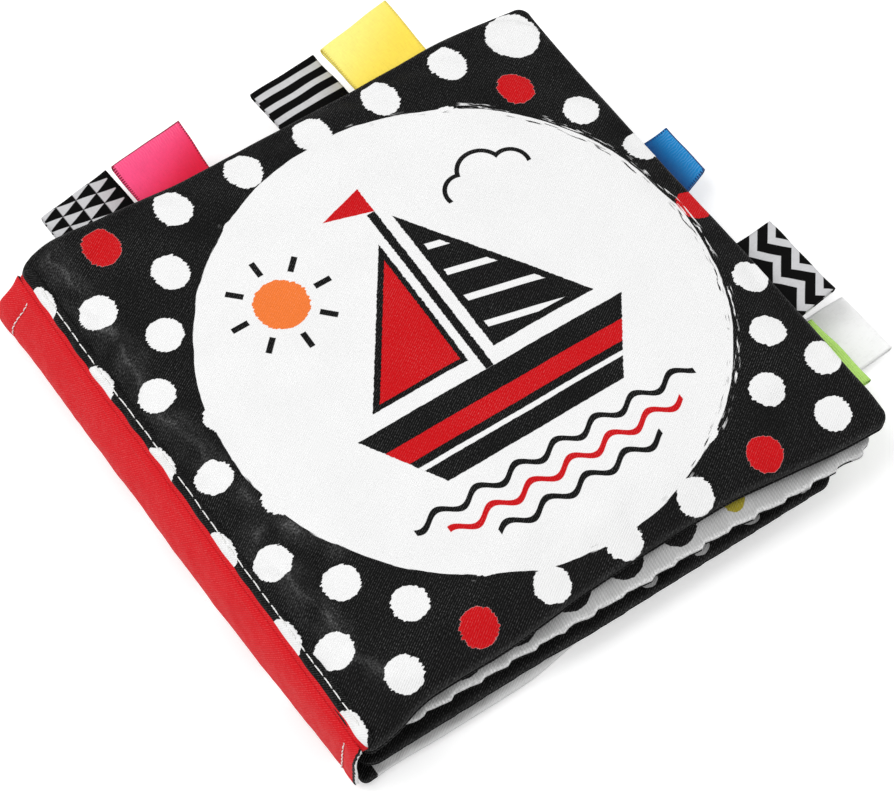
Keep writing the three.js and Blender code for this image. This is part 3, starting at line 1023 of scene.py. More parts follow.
class Leaf:
    """One padded leaf: its outline, and the height of its two faces over it."""

    def __init__(self, body, edge, reach, height, depth, seam, corner, foot, fore, head, sag,
                 creased=False, turned=False, below=0.0, lift=0.0, teeth=0.0, seam_light=0.25,
                 foot_rim=0.0):
        self.body, self.corner = body, corner
        self.foot, self.fore, self.head, self.sag = foot, fore, head, sag
        self.half_x = (reach - edge) / 2
        self.half_y = height / 2
        self.middle = reach - self.half_x
        self.reach, self.half, self.seam = reach, depth / 2, seam
        self.creased, self.turned, self.below, self.lift = creased, turned, below, lift
        self.teeth, self.seam_light, self.foot_rim = teeth, seam_light, foot_rim

    def places(self, steps):
        """A grid's places on a straight page, and where they lie in the real outline."""
        u, v = np.meshgrid(crowded(steps), crowded(steps), indexing="ij")
        half_x, half_y = self.half_x, self.half_y
        flat_x, flat_y = rounded(u * half_x, v * half_y, half_x, half_y, self.corner)
        middle = half_y / 2
        foot = softened(self.foot, self.middle + flat_x) + half_y
        head = softened(self.head, self.middle + flat_x) - half_y
        y = flat_y + foot * smooth_step((-flat_y - middle) / middle)
        y = y + head * smooth_step((flat_y - middle) / middle)
        out = softened(self.fore, flat_y) - self.reach
        x = self.middle + flat_x + np.where(flat_x > 0, out * (flat_x / half_x) ** 2, 0)
        side = smooth_step((ROOT_REACH - x) / ROOT_REACH)
        return self.middle + flat_x, flat_y, x + side * self.root_swing(y), y

    def root_swing(self, y):
        """How far the side next to the spine moves: with the ridge, or clear of the spine below."""
        if self.creased:
            return ridge_swing(y)
        return np.maximum(0, spine_swing(y, self.seam) - ROOT_CLEARANCE)

    def sagged(self, flat_y, x):
        """How far the leaf hangs down near its foot edge, less how far its head edge is lifted."""
        foot = np.clip(1 - (flat_y + self.half_y) / SAG_REACH, 0, 1) ** 2
        head = np.clip(1 - (self.half_y - flat_y) / SAG_REACH, 0, 1) ** 2
        return softened(self.sag, x) * foot - self.lift * head

    def full(self, flat_x, flat_y):
        """How full the leaf is, from 0 at its edge to 1 inside."""
        near_x = np.maximum(0, 1 - (self.half_x - np.abs(flat_x - self.middle)) / ROUND_OVER)
        near_y = np.maximum(0, 1 - (self.half_y - np.abs(flat_y)) / ROUND_OVER)
        edge = np.minimum(1, (near_x**CORNER_POWER + near_y**CORNER_POWER) ** (1 / CORNER_POWER))
        return np.sqrt(1 - edge**2)

    def rise(self, flat_x, flat_y, half):
        """The height of a face over the seam."""
        full = self.full(flat_x, flat_y)
        across = (flat_x - self.middle) / self.half_x
        dome = np.maximum(0, 1 - across**2) * np.maximum(0, 1 - (flat_y / self.half_y) ** 2)
        rim = SEAM_RIM + self.foot_rim * smooth_step((-flat_y - FOOT_RIM_FROM) / FOOT_RIM_RUN)
        height = rim + (half - rim - DOME_RISE) * full + DOME_RISE * dome
        if self.creased:
            share = np.minimum(1, np.abs(flat_x - CREASE_PLACE) / CREASE_WIDTH)
            height = height - CREASE_DEPTH * full * (1 + np.cos(share * np.pi)) / 2
        return height


# seam_light is a painted highlight along each leaf's rolled seam: weak by default, strong on leaf A
front = Leaf("front_cover", COVER_ROOT, COVER_REACH, COVER_HEIGHT, COVER_DEPTH, FRONT_SEAM, COVER_CORNER,
             FRONT_FOOT, FRONT_FORE, FRONT_HEAD, FRONT_SAG, creased=True, lift=1.0, foot_rim=0.85)
leaf_a = Leaf("leaf_a", LEAF_EDGE, LEAF_A_REACH, LEAF_HEIGHT, LEAF_DEPTH, LEAF_A_SEAM, LEAF_CORNER,
              LEAF_A_FOOT, LEAF_A_FORE, LEAF_HEAD, LEAF_A_SAG, teeth=0.8, seam_light=4.0)
leaf_b = Leaf("leaf_b", LEAF_EDGE, LEAF_B_REACH, LEAF_HEIGHT, LEAF_DEPTH, LEAF_B_SEAM, LEAF_CORNER,
              LEAF_B_FOOT, LEAF_B_FORE, LEAF_HEAD, LEAF_B_SAG, teeth=0.15)
back = Leaf("back_cover", COVER_EDGE, BACK_REACH, LEAF_HEIGHT, COVER_DEPTH, BACK_SEAM, BACK_CORNER,
            BACK_FOOT, BACK_FORE, LEAF_HEAD, BACK_SAG, below=FLAT_CUT, turned=True)

# Simulation of the stuffed cloth
SIM_STEPS = 46
SIM_FRAMES = 20
SIM_START = 0.82
SIM_QUALITY = 6
SIM_MASS = 0.15
SIM_STIFFNESS = 0.2
SIM_PRESSURE = 4.0
SIM_SLACK = -0.02
SIM_CAP = 0.9


def finer(grid, count):
    """A square grid of numbers, resampled to more columns and rows and softened."""
    old, new = np.linspace(0, 1, len(grid)), np.linspace(0, 1, count)
    more = np.array([np.interp(new, old, line) for line in grid.T]).T
    more = np.array([np.interp(new, old, line) for line in more])
    kernel = np.array([1.0, 2.0, 3.0, 2.0, 1.0]) / 9.0
    for _ in range(2):
        for axis in (0, 1):
            padded = np.pad(more, [(2, 2) if k == axis else (0, 0) for k in (0, 1)], mode="edge")
            more = np.apply_along_axis(np.convolve, axis, padded, kernel, mode="valid")
    return more


def simulated(points, faces, rim):
    """The heights of a closed cloth's points once pressure has filled it, with its rim pinned."""
    model = mesh_piece("puffing", points, faces)
    pinned = model.vertex_groups.new(name="rim")
    pinned.add([int(k) for k in rim], 1.0, "REPLACE")
    cloth = model.modifiers.new("cloth", "CLOTH")
    cloth.settings.quality = SIM_QUALITY
    cloth.settings.mass = SIM_MASS
    cloth.settings.vertex_group_mass = "rim"
    cloth.settings.use_pressure = True
    cloth.settings.uniform_pressure_force = SIM_PRESSURE
    cloth.settings.shrink_min = SIM_SLACK
    cloth.settings.bending_stiffness = SIM_STIFFNESS
    cloth.settings.effector_weights.gravity = 0.0
    cloth.collision_settings.use_collision = False
    cloth.point_cache.frame_start = 1
    cloth.point_cache.frame_end = SIM_FRAMES
    scene = bpy.context.scene
    for number in range(1, SIM_FRAMES + 1):
        scene.frame_set(number)
    shaped = model.evaluated_get(bpy.context.evaluated_depsgraph_get())
    result = shaped.to_mesh()
    now = np.zeros(len(points) * 3, np.float32)
    result.vertices.foreach_get("co", now)
    shaped.to_mesh_clear()
    scene.frame_set(1)
    bpy.data.objects.remove(model)
    return (now.reshape(-1, 3) / MM - SHIFT)[:, 2]


def puffed(leaf, steps):
    """How far the cloth of a leaf's two faces moves when its wadding presses it out."""
    flat_x, flat_y, x, y = leaf.places(SIM_STEPS)
    middle = leaf.seam - leaf.sagged(flat_y, x)
    rise = leaf.rise(flat_x, flat_y, leaf.half)
    thin = [np.stack([x, y, middle + side * rise * SIM_START], -1) for side in (1, -1)]
    points = np.concatenate([face.reshape(-1, 3) for face in thin])
    count = SIM_STEPS + 1
    rim = rim_order(count, count)
    both_rims = np.concatenate([rim, rim + count**2])
    heights = simulated(points, closed_faces(count, count), both_rims)
    moves = []
    for side, face in zip((1, -1), heights.reshape(2, count, count)):
        move = np.clip(face - (middle + side * rise), -SIM_CAP, SIM_CAP)
        moves.append(finer(move, steps + 1))
    return np.array(moves)


def pad_mesh(leaf, steps, materials, shape):
    """A leaf's closed padded form. shape gives what the folds add to its two faces, and the painted
    highlight along the folds, which is partly rubbed wear.
    """
    flat_x, flat_y, x, y = leaf.places(steps)
    near_x = leaf.half_x - np.abs(flat_x - leaf.middle)
    near_y = leaf.half_y - np.abs(flat_y)
    near = np.minimum(near_x, near_y)
    edge_run = np.where(near_x < near_y, y, x + leaf.half_y)
    tooth = (edge_run / TOOTH_PITCH) % 1 - 0.5 + TOOTH_WANDER * smooth_noise(x, y, 4, 6)
    y = y + np.sign(flat_y) * leaf.teeth * tooth * bell(near, TOOTH_REACH)
    wander = GATHER_WANDER * smooth_noise(x, y, 40, 5)
    gather = np.sin(edge_run * 2 * np.pi / GATHER_PITCH + wander)
    gather = gather * GATHER_DEPTH * bell(near, GATHER_REACH) * np.minimum(1, near / GATHER_FROM)
    up, down, wear_and_highlight = shape(x, y, leaf.full(flat_x, flat_y))
    puff_up, puff_down = puffed(leaf, steps)
    up, down = up + puff_up, down + puff_down
    # A painted highlight along the seam's rolled edge
    wear_and_highlight = wear_and_highlight + leaf.seam_light * bell(near, SEAM_LIGHT_REACH)
    middle = leaf.seam - leaf.sagged(flat_y, x)
    top = middle + leaf.rise(flat_x, flat_y, leaf.half) + gather + up
    bottom = middle - leaf.rise(flat_x, flat_y, leaf.half + leaf.below) + gather + down
    if leaf.turned:
        bottom = np.maximum(bottom, FLOOR_CLEARANCE + FLOOR_BUMPS * smooth_noise(x, y, 9, 3))
    upper = np.stack([x, y, top], -1).reshape(-1, 3)
    lower = np.stack([x, y, bottom], -1).reshape(-1, 3)
    columns = steps + 1
    rim = rim_order(columns, columns)
    outline = upper[rim]
    ahead = np.roll(outline, -1, 0)[:, :2] - np.roll(outline, 1, 0)[:, :2]
    ahead /= np.linalg.norm(ahead, axis=1)[:, None]
    inward = np.stack([-ahead[:, 1], ahead[:, 0]], -1)
    run = np.cumsum(np.linalg.norm(outline - np.roll(outline, 1, 0), axis=1))
    drift = 2 * np.sin(run / PUCKER_DRIFT_RUN)
    pucker = PUCKER_SHARE * np.sin(run * 2 * np.pi / PUCKER_PITCH + drift)
    pucker = pucker + FINE_PUCKER_SHARE * np.sin(run / FINE_PUCKER_RUN)
    top_rim, low_rim = upper[rim][:, 2], lower[rim][:, 2]
    place_share = SEAM_PLACE_SHARE + SEAM_WANDER_SHARE * np.sin(run / SEAM_WANDER_RUN)
    seam = low_rim + (top_rim - low_rim) * place_share
    faces = [grid_faces(columns, columns)]
    slots = [np.zeros(len(faces[0]), int)]
    points = [upper]
    pages = [np.column_stack([upper[:, :2], wear_and_highlight.ravel()])]
    previous = rim
    total = len(upper)
    profile = [(inset, share, 0) for inset, share in SEAM_PROFILE]
    profile += [(inset, share, 1) for inset, share in SEAM_PROFILE[-2::-1]]
    for inset, share, side in profile:
        z = seam + share * ((low_rim if side else top_rim) - seam)
        deep = inset * (1 + 0.5 * pucker)
        points.append(np.column_stack([outline[:, :2] + inward * deep[:, None], z]))
        flat = outline[:, :2] - inward * (SEAM_RIM * (1 - share))
        # The seam rings' painted highlight, on their upper half
        light = leaf.seam_light * (side == 0) * (share < SEAM_LIGHT_SHARE)
        pages.append(np.column_stack([flat, np.full(len(rim), light)]))
        number = total + np.arange(len(rim))
        faces.append(ring_faces(number, previous))
        slots.append(np.full(len(rim), 0 if leaf.turned or leaf.creased else side))
        previous = number
        total += len(rim)
    faces.append(ring_faces(total + rim, previous))
    slots.append(np.full(len(rim), 0 if leaf.turned else 1))
    points.append(lower)
    pages.append(np.column_stack([lower[:, :2], np.zeros(len(lower))]))
    faces.append(grid_faces(columns, columns, first=total, flip=True))
    turned_in = leaf.turned * (near[:-1, :-1] < TURN_IN)
    slots.append(np.where(turned_in.ravel(), 0, 1))
    page = np.concatenate(pages) - np.array([*PAGE_CENTRE, 0.0])
    return mesh_piece(
        f"{leaf.body}_pad", np.concatenate(points), np.concatenate(faces), materials,
        {"page": page}, np.concatenate(slots),
    )


def thick_sheet(name, top, normals, thickness, materials, attributes):
    """A grid of points, given a second face behind it and a rim, so that the cloth is closed.

    The second face takes the last of the materials.
    """
    columns, rows = top.shape[:2]
    faces = closed_faces(columns, rows)
    under = top - normals * thickness
    points = np.concatenate([top.reshape(-1, 3), under.reshape(-1, 3)])
    flat = {key: value.reshape(columns * rows, -1) for key, value in attributes.items()}
    doubled = {key: np.concatenate([value] * 2) for key, value in flat.items()}
    slots = np.zeros(len(faces), int)
    panel = (columns - 1) * (rows - 1)
    slots[panel : 2 * panel] = len(materials) - 1
    return mesh_piece(name, points, faces, materials, doubled, slots)


def grid_normals(points):
    """The normals of a grid of points."""
    normal = np.cross(np.gradient(points, axis=0), np.gradient(points, axis=1))
    return normal / np.linalg.norm(normal, axis=-1, keepdims=True)


def through(places, shares):
    """Points on a smooth curve through the places, evenly spaced by shares from 0 to 1."""
    places = np.asarray(places, float)
    run = run_along(places)
    run /= run[-1]
    slope = np.gradient(places, run, axis=0)
    index = np.clip(np.searchsorted(run, shares, side="right") - 1, 0, len(run) - 2)
    width = (run[index + 1] - run[index])[:, None]
    t = ((shares - run[index]) / (run[index + 1] - run[index]))[:, None]
    a, b = places[index], places[index + 1]
    c, d = slope[index] * width, slope[index + 1] * width
    return (
        a * (2 * t**3 - 3 * t**2 + 1)
        + b * (3 * t**2 - 2 * t**3)
        + c * (t**3 - 2 * t**2 + t)
        + d * (t**3 - t**2)
    )


def line_distance(x, y, line):
    """The distance to a line of places."""
    best = np.full(x.shape, np.inf)
    for (ax, ay), (bx, by) in zip(line, line[1:]):
        dx, dy = bx - ax, by - ay
        t = np.clip(((x - ax) * dx + (y - ay) * dy) / (dx * dx + dy * dy), 0, 1)
        best = np.minimum(best, np.hypot(x - ax - t * dx, y - ay - t * dy))
    return best


def front_shape(x, y, full):
    """What folds and bumps add to the cover's two faces, and the painted highlight along the folds,
    which is partly rubbed wear.
    """
    up = COVER_BUMPS * smooth_noise(x, y, 34, 1) + COVER_RUMPLES * smooth_noise(x, y, 12, 2)
    wear_and_highlight = np.zeros(x.shape)
    wander = FOLD_WANDER * smooth_noise(x, y, 7, 15)
    unbroken = np.clip(0.75 + 0.5 * smooth_noise(x, y, 9, 16), 0, 1.3)
    for line, width, height in FRONT_FOLDS:
        far = line_distance(x + wander, y, line)
        beside = line_distance(x + DIP_SIDE, y, line)
        broken = height * unbroken
        up = up + FOLD_SHARE * broken * bell(far, width) - DIP_SHARE * height * bell(beside, DIP_WIDTH)
        # Painted highlight along the fold and beside it, partly rubbed wear
        wear_and_highlight = np.maximum(wear_and_highlight, broken * bell(far, width * FOLD_HIGHLIGHT_SHARE))
        wear_and_highlight = np.maximum(wear_and_highlight, HIGHLIGHT_BESIDE_SHARE * broken * bell(far - HIGHLIGHT_SIDE, HIGHLIGHT_WIDTH))
    near = bell(np.maximum(0, x - RIDGE_WAVE_FROM), RIDGE_WAVE_REACH)
    wander = RIDGE_WAVE_WANDER * smooth_noise(x, y, 50, 4)
    up = up + RIDGE_WAVE * near * np.sin(y * 2 * np.pi / RIDGE_WAVE_PITCH + wander)
    up = up + RIDGE_RUMPLES * near * smooth_noise(x, y, 5, 17)
    ridge_dip = RIDGE_DIP * np.clip((RIDGE_KEEP - x) / RIDGE_KEEP, 0, 1)
    full = np.minimum(1, full * FULL_FOLDS)
    return up * full - ridge_dip, COVER_LOW_BUMPS * smooth_noise(x, y, 30, 8) * full, wear_and_highlight


def plain_shape(seed):
    """The soft bumps of a leaf without folds."""

    def shape(x, y, full):
        up = LEAF_BUMPS * smooth_noise(x, y, 30, seed) * full
        down = LEAF_BUMPS * smooth_noise(x, y, 26, seed + 50) * full
        return up, down, np.zeros(x.shape)

    return shape


cover_cloth = cover_print()
spine_cloth = spine_print()
dotted_cloth = dotted_print()
black_cloth = Cloth("black_lining", BLACK).done()
white_cloth = Cloth("white_edge", WHITE).done()
leaf_a_cloths = [scallop_print(), edge_dot_print()]
leaf_b_cloths = [triangle_print(), wave_print()]
back_cloths = [chevron_print(), dotted_cloth]

for leaf, steps, cloths, shape, sides, slot in (
    (front, COVER_STEPS, [cover_cloth, dotted_cloth], front_shape, ("outer", "inner"), "black_cloth"),
    (leaf_a, LEAF_STEPS, leaf_a_cloths, plain_shape(11), ("upper", "lower"), "white_cloth"),
    (leaf_b, LEAF_STEPS, leaf_b_cloths, plain_shape(21), ("upper", "lower"), "black_cloth"),
    (back, LEAF_STEPS, back_cloths, plain_shape(31), ("outer", "inner"), "white_cloth"),
):
    pad = pad_mesh(leaf, steps, cloths, shape)
    panels = [f"{leaf.body}_{side}_panel" for side in sides]
    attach(pad, leaf.body)
    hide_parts(*panels, f"{leaf.body}_wadding", f"{leaf.body}_crinkle_film")


# Spine
def end_flare(y, z):
    """How far the spine's cloth reaches out of the head end, low down."""
    return END_FLARE * low_share(z) * np.clip(y / SPINE_HALF, 0, 1) ** 3


def spine_mesh():
    """The spine's padded form: a printed face, a black lining and a white foot end."""
    shares = np.linspace(0, 1, SPINE_COLUMNS + 1)
    ys = SPINE_HALF * crowded(SPINE_ROWS)
    face = through(SPINE_FACE, shares)
    inner = through(SPINE_BACK, shares)
    y = np.broadcast_to(ys[None], (len(shares), len(ys)))
    over = ((np.abs(y) - (SPINE_HALF - SPINE_END_ROUND)) / SPINE_END_ROUND).clip(0)
    end = np.sqrt(np.clip(1 - over**2, 0, 1))
    face_x, face_z = (np.broadcast_to(face[:, [k]], y.shape) for k in (0, 1))
    inner_x, inner_z = (np.broadcast_to(inner[:, [k]], y.shape) for k in (0, 1))
    middle = np.sin(shares * np.pi)[:, None]
    beside_row = np.where(y > 0, y - CROSS_ROW_HEAD, y - CROSS_ROW_FOOT)
    dip = CROSS_DIP * bell(beside_row, CROSS_DIP_WIDTH / 2) * middle
    lumps = 0.22 * smooth_noise(face_z, y, 16, 61) + 0.1 * smooth_noise(face_z, y, 6, 62)
    thick_share = SPINE_END_SHARE + (1 - SPINE_END_SHARE) * end
    outer_x = inner_x + (face_x - inner_x) * thick_share + dip - lumps * middle
    frayed = 0.4 * smooth_noise(face_z, 0.0, 2.2, 63) * bell(y + SPINE_HALF, 1.2)
    outer_y = y + end_flare(y, face_z) + frayed
    outer = np.stack([outer_x + spine_swing(y, face_z), outer_y, face_z], -1)
    inner_swing = spine_swing(y, inner_z)
    held_back = LINING_SHARE + LINING_FOOT_SHARE * bell(inner_z - SPINE_BACK[-1][1], 2.0)
    inside_x = inner_x + inner_swing * np.where(inner_swing > 0, held_back, LINING_OUT_SHARE)
    inside = np.stack([inside_x, y + end_flare(y, inner_z), inner_z], -1)
    columns, rows = outer.shape[:2]
    faces = closed_faces(columns, rows, flip=True)
    slots = np.zeros(len(faces), int)
    panel = (columns - 1) * (rows - 1)
    slots[panel : 2 * panel] = 1
    slots[2 * panel : 2 * panel + columns - 1] = 2
    slots[len(slots) - rows + 1 :] = 1
    arc = np.broadcast_to(SPINE_ARC_START + run_along(face)[:, None], y.shape)
    page = np.concatenate([np.stack([arc, y - PAGE_CENTRE[1]], -1).reshape(-1, 2)] * 2)
    points = np.concatenate([outer.reshape(-1, 3), inside.reshape(-1, 3)])
    materials = [spine_cloth, black_cloth, white_cloth]
    return mesh_piece("spine_pad", points, faces, materials, {"page": page}, slots)


spine_pad = spine_mesh()
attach(spine_pad, "spine")
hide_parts("spine_outer_panel", "spine_wadding", "spine_lining")


def ridge_cloth(name, profile, stitch_x, swing, ripple_size, seed, core, reach,
                red_shift=0.0):
    """A strip of the cover's cloth that turns over the ridge to the spine.

    Gives the line that its stitches follow. Its ends are drawn in towards the core.
    """
    line = through(profile, np.linspace(0, 1, RIDGE_COLUMNS))
    run = run_along(line)
    row = int(np.argmin(np.abs(line[:, 0] - stitch_x)))
    y = np.tile(np.linspace(-reach, reach, RIDGE_ROWS), (RIDGE_COLUMNS, 1))
    beyond = (run - run[row])[:, None]
    lip = bell(beyond - LIP_PLACE, LIP_WIDTH)
    ripple = np.sin(y * 2 * np.pi / RIPPLE_PITCH + 2.5 * smooth_noise(y, 0.0, 60, seed))
    ripple = ripple_size * lip * (ripple + 0.5 * smooth_noise(y, 0.0, 7, seed + 1))
    end_share = np.clip((np.abs(y) - (reach - RIDGE_END_ROUND)) / RIDGE_END_ROUND, 0, 1)
    end_share = RIDGE_END_SHARE * (1 - np.sqrt(1 - end_share**2))
    up = np.sign(line[0, 1] - RIDGE_MIDDLE)
    line_x, line_z = line[:, :1], np.broadcast_to(line[:, 1:], y.shape)
    drawn_x = line_x + (core[0] - line_x) * end_share
    drawn_z = line_z + (core[1] - line_z) * end_share
    out_x = drawn_x - RIPPLE_OUT_SHARE * ripple + swing(y, line_z)
    out_z = drawn_z + up * RIPPLE_UP_SHARE * ripple
    out = np.stack([out_x, y, out_z], -1)
    page = np.stack([np.broadcast_to(beyond - red_shift, y.shape), y], -1)
    if up > 0:
        out, page = out[::-1], page[::-1]
    normals = grid_normals(out)
    made = thick_sheet(name, out, normals, RIDGE_CLOTH, [spine_cloth, black_cloth], {"page": page})
    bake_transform(made)
    stitched = out + normals * THREAD_RADIUS
    return (stitched[::-1] if up > 0 else stitched)[row]


def front_swing(y, z):
    return ridge_swing(y)


def back_swing(y, z):
    """How far the back ridge lies from its straight place. It grows up to the spine's own swing."""
    return spine_swing(y, SWING_LOW) * smooth_step((z - BACK_SWING_FROM) / BACK_SWING_RUN)


front_row = ridge_cloth(
    "front_ridge_cloth", FRONT_RIDGE, 3.6,
    front_swing, 0.45, 71, (3.0, 26.2), FRONT_RIDGE_END,
)
back_row = ridge_cloth(
    "back_ridge_cloth", BACK_RIDGE, 3.2,
    back_swing, 0.2, 81, (1.2, 3.2), BACK_RIDGE_END, 2.2,
)


# Ribbon tags
def tag(name, node, leaf, base, tip, material, seed):
    """A ribbon folded into a loop and sewn into a leaf's edge.

    base and tip have the two places where its sides start in the leaf, and where they fold back.
    """
    shares = np.linspace(0, 1, TAG_COLUMNS), np.linspace(0, 1, TAG_ROWS)
    share, t = np.meshgrid(*shares, indexing="ij")
    base, tip = np.array(base), np.array(tip)
    width = math.dist(*tip)
    reach = (math.dist(base[0], tip[0]) + math.dist(base[1], tip[1])) / 2
    fold = np.clip((t - (0.5 - BEND_SHARE)) / (2 * BEND_SHARE), 0, 1)
    before, after = t < 0.5 - BEND_SHARE, t > 0.5 + BEND_SHARE
    up = np.where(before, 1.0, np.where(after, -1.0, np.cos(fold * np.pi)))
    returning = np.where(after, (1 - t) / (0.5 - BEND_SHARE), 1.0)
    out = np.where(before, t / (0.5 - BEND_SHARE), returning)
    loop = LOOP_HALF / reach
    run = out * (1 - loop) + np.sin(fold * np.pi) * loop
    start = base[0] + (base[1] - base[0]) * share[..., None]
    end = tip[0] + (tip[1] - tip[0]) * share[..., None]
    plan = start + (end - start) * run[..., None]
    across = (share - 0.5) * width
    distance = run * reach
    opened = LOOP_BASE_SHARE + (1 - LOOP_BASE_SHARE) * np.clip(out, 0, 1) ** 2
    lift = up * (RIBBON_PLY * PLY_SHARE + LOOP_HALF * opened)
    ripple = TAG_WAVES * smooth_noise(across, distance, TAG_WAVES_PITCH, seed)
    height = leaf.seam + lift + ripple * np.clip(distance / TAG_WAVES_FROM, 0, 1)
    points = np.concatenate([plan, height[..., None]], -1)
    strip = np.stack([across, reach - distance], -1)
    normals = grid_normals(points)
    if normals[TAG_COLUMNS // 2, 5, 2] < 0:
        points, strip = points[::-1], strip[::-1]
        normals = grid_normals(points)
    made = thick_sheet(name, points, normals, RIBBON_PLY, [material], {"strip": strip})
    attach(made, leaf.body)
    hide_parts(node)


# Each satin's first colour is its painted highlight at the fold, the second its painted shade at the
# base
yellow_satin = satin("yellow_satin", srgb(0xFFF88A), srgb(0xFFE254), -4.0, 20.0, 13.2,
                     srgb(0xF2D85C), lean=0.5)
pink_satin = satin("pink_satin", srgb(0xFF5288), srgb(0xE01038), 0.0, 22.0, 12.6,
                   srgb(0x8E0F2C), lean=0.4, pucker=0.06)
blue_satin = satin("blue_satin", srgb(0x0088CE), srgb(0x004484), 0.5, 11.0, 9.0,
                   srgb(0x0A3A78), pucker=0.1)
label_white = Ribbon("label_ribbon", srgb(0xFFFFFF)).done(ribs=0.3, roughness=0.5)

tag("yellow_tag", "tag_yellow", front, ((113.6, 85.0), (138.8, 85.0)),
    ((112.2, 106.2), (138.3, 111.3)), yellow_satin, 101)
tag("striped_tag", "tag_stripes", leaf_a, ((91.0, 82.0), (114.8, 82.0)),
    ((88.6, 108.2), (112.1, 110.7)), striped_ribbon(), 102)
tag("pink_tag", "tag_pink", leaf_a, ((42.0, 82.0), (64.4, 82.0)),
    ((40.9, 108.1), (65.9, 112.0)), pink_satin, 103)
tag("triangle_tag", "tag_triangles", leaf_b, ((17.6, 82.0), (43.6, 82.0)),
    ((16.7, 108.2), (40.8, 112.8)), triangle_ribbon(), 104)
tag("blue_tag", "tag_blue", leaf_b, ((160.5, 31.2), (160.5, 5.0)),
    ((190.1, 34.8), (190.8, 16.6)), blue_satin, 105)
tag("chevron_tag", "tag_chevron", leaf_a, ((168.0, -13.5), (168.0, -44.0)),
    ((192.1, -11.9), (193.8, -40.3)), chevron_ribbon(), 106)
tag("green_tag", "tag_green", leaf_b, ((158.0, -43.2), (157.0, -66.5)),
    ((185.4, -42.0), (187.3, -66.9)), green_ribbon(), 107)
tag("white_label", "tag_white_label", back, ((163.0, -38.0), (159.5, -61.5)),
    ((201.6, -37.9), (203.2, -59.2)), label_white, 108)


# Stitches. The three faces of a cap close the end of a thread.
THREAD_CAP = np.array([[0, 1, 2, 3], [0, 3, 4, 7], [4, 5, 6, 7]])
thread = thread_shade()


def stitch_points(line, normal, size, drift):
    """The rings of points of one twisted stitch, which dives at both ends."""
    shares = np.linspace(0, 1, THREAD_RINGS)
    around = (np.arange(THREAD_SIDES) * 2 * np.pi / THREAD_SIDES)[None]
    arch = np.sin(shares * np.pi)
    side = np.cross(np.gradient(line, axis=0), normal)
    side /= np.linalg.norm(side, axis=1)[:, None]
    up = np.cross(side, np.gradient(line, axis=0))
    up /= np.linalg.norm(up, axis=1)[:, None]
    lift = THREAD_ARCH * arch**0.6 - THREAD_RADIUS * THREAD_DIVE_SHARE * (1 - arch**0.35)
    line = line + up * lift[:, None] + side * (drift * (shares - 0.5))[:, None]
    twist = around + shares[:, None] * size * THREAD_TWIST
    full = (THREAD_END_SHARE + THREAD_MIDDLE_SHARE * arch**0.3)[:, None]
    thick = THREAD_RADIUS * full * (1 + THREAD_TWIST_SHARE * np.cos(2 * twist))
    return (
        line[:, None]
        + side[:, None] * (thick * np.cos(around))[..., None]
        + up[:, None] * (thick * np.sin(around))[..., None]
    )


def stitch_row(name, node, body, path, stitch, gap, seed, normal=(0.0, 0.0, 1.0)):
    """A row of stitches along a path of points, each a short twisted thread."""
    run = run_along(path)
    random = np.random.default_rng(seed)
    shares = np.linspace(0, 1, THREAD_RINGS)
    around = (np.arange(THREAD_SIDES) * 2 * np.pi / THREAD_SIDES)[None]
    i, j = np.meshgrid(np.arange(THREAD_RINGS - 1), np.arange(THREAD_SIDES), indexing="ij")
    a, b = i * THREAD_SIDES + j, i * THREAD_SIDES + (j + 1) % THREAD_SIDES
    wall = np.stack([a, b, b + THREAD_SIDES, a + THREAD_SIDES], -1).reshape(-1, 4)
    far_cap = THREAD_CAP + (THREAD_RINGS - 1) * THREAD_SIDES
    one = np.concatenate([wall, THREAD_CAP[:, ::-1], far_cap])
    points, faces, strips = [], [], []
    for k in range(int(run[-1] / (stitch + gap))):
        start = k * (stitch + gap) + random.uniform(0, gap * 0.4)
        size = stitch * random.uniform(0.92, 1.08)
        along = start + shares * size
        line = np.stack([np.interp(along, run, path[:, axis]) for axis in range(3)], -1)
        drift = random.uniform(-STITCH_DRIFT, STITCH_DRIFT)
        points.append(stitch_points(line, normal, size, drift).reshape(-1, 3))
        strips.append(np.stack(np.broadcast_arrays(around, along[:, None]), -1).reshape(-1, 2))
        faces.append(one + k * THREAD_RINGS * THREAD_SIDES)
    points, faces, strips = (np.concatenate(parts) for parts in (points, faces, strips))
    made = mesh_piece(name, points, faces, [thread], {"strip": strips})
    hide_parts(node)
    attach(made, body)


def gutter_path(leaf):
    """The line of the stitches that hold a leaf in the gutter."""
    y = np.linspace(-BACK_ROW_HALF, BACK_ROW_HALF, RIDGE_ROWS)
    x = np.full(len(y), GUTTER_STITCH_X)
    lean = leaf.root_swing(y) * smooth_step((ROOT_REACH - x) / ROOT_REACH)
    height = leaf.seam + leaf.rise(x, y, leaf.half)
    return np.stack([x + lean, y, height + GUTTER_STITCH_RISE], -1)


def cross_path(row_y):
    """The line of the stitches across the spine."""
    shares = np.linspace(0.1, 0.93, 40)
    x, z = through(SPINE_FACE, shares).T
    y = np.full(len(shares), row_y)
    x = x + spine_swing(y, z) + CROSS_DIP * np.sin(shares * np.pi) - CROSS_OUT
    return np.stack([x, y + end_flare(y, z), z], -1)


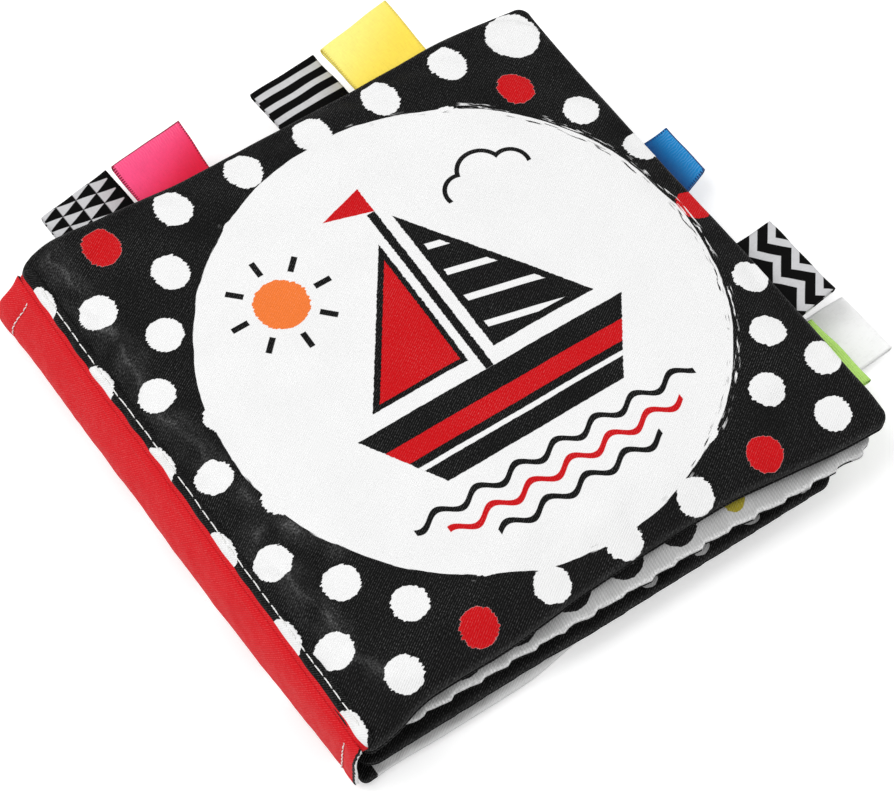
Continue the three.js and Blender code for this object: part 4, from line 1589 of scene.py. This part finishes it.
front_row = front_row[np.abs(front_row[:, 1]) < FRONT_ROW_HALF]
back_row = back_row[np.abs(back_row[:, 1]) < BACK_ROW_HALF]
stitch_row("front_ridge_stitches", "front_ridge_stitching", "front_cover", front_row,
           RIDGE_STITCH, RIDGE_GAP, seed=1)
stitch_row("back_ridge_stitches", "back_ridge_stitching", "back_cover", back_row,
           RIDGE_STITCH, RIDGE_GAP, seed=2, normal=(0.0, 0.0, -1.0))
for leaf in (leaf_a, leaf_b):
    stitch_row(f"{leaf.body}_stitches", f"{leaf.body}_gutter_stitching", leaf.body,
               gutter_path(leaf), RIDGE_STITCH, RIDGE_GAP, seed=3)
for end, row_y in (("head", CROSS_ROW_HEAD), ("foot", CROSS_ROW_FOOT)):
    stitch_row(f"spine_{end}_stitches", f"spine_{end}_stitching", "spine",
               cross_path(row_y), CROSS_STITCH, CROSS_GAP, seed=4, normal=(-1.0, 0.0, 0.0))


# Floor and light
FLOOR_HALF = 3.0
FLOOR_GLOW = 0.3
SKY_LIGHT = 0.6
LIGHT_WHITE = (1.0, 1.0, 1.0, 1.0)


def floor():
    """A white floor, which glows a little where the camera or a reflection sees it."""
    data = bpy.data.meshes.new("floor")
    corners = [(-1, -1, 0), (1, -1, 0), (1, 1, 0), (-1, 1, 0)]
    data.from_pydata([[FLOOR_HALF * side for side in corner] for corner in corners], [], [(0, 1, 2, 3)])
    shade = Shade("floor")
    rays = shade.node("ShaderNodeLightPath").outputs
    kinds = ("Camera", "Glossy", "Transmission")
    seen = highest([Value(shade, rays[f"Is {kind} Ray"]) for kind in kinds])
    diffuse = shade.node("ShaderNodeBsdfDiffuse", {"Color": srgb(0xFAFAFA)})
    glow = shade.node("ShaderNodeEmission", {"Color": LIGHT_WHITE, "Strength": seen * FLOOR_GLOW})
    both = shade.node("ShaderNodeAddShader", {0: diffuse.outputs[0], 1: glow.outputs[0]})
    shade.node("ShaderNodeOutputMaterial", {"Surface": both.outputs[0]})
    data.materials.append(shade.material)
    linked("floor", data)


def lamp(name, place, size, power):
    """A round lamp that faces the book."""
    data = bpy.data.lights.new(name, "AREA")
    data.shape = "DISK"
    data.size = size
    data.energy = power
    made = linked(name, data)
    made.location = place
    made.rotation_euler = Vector(-np.array(place)).to_track_quat("-Z", "Y").to_euler()


def sky():
    """A white sky, which the camera sees brighter than it lights the book."""
    world = bpy.data.worlds.new("world")
    bpy.context.scene.world = world
    world.use_nodes = True
    nodes, links = world.node_tree.nodes, world.node_tree.links
    background = nodes["Background"]
    background.inputs["Color"].default_value = LIGHT_WHITE
    rays = nodes.new("ShaderNodeLightPath")
    seen = nodes.new("ShaderNodeMath")
    seen.operation = "MAXIMUM"
    links.new(rays.outputs["Is Camera Ray"], seen.inputs[0])
    links.new(rays.outputs["Is Transmission Ray"], seen.inputs[1])
    strength = nodes.new("ShaderNodeMapRange")
    strength.inputs["To Min"].default_value = SKY_LIGHT
    links.new(seen.outputs[0], strength.inputs["Value"])
    links.new(strength.outputs["Result"], background.inputs["Strength"])


floor()
lamp("key", (-0.7, 0.25, 1.32), size=0.9, power=9.6)
lamp("fill", (0.9, -0.3, 1.3), size=1.2, power=5.0)
sky()

bpy.context.scene.view_settings.view_transform = "Standard"
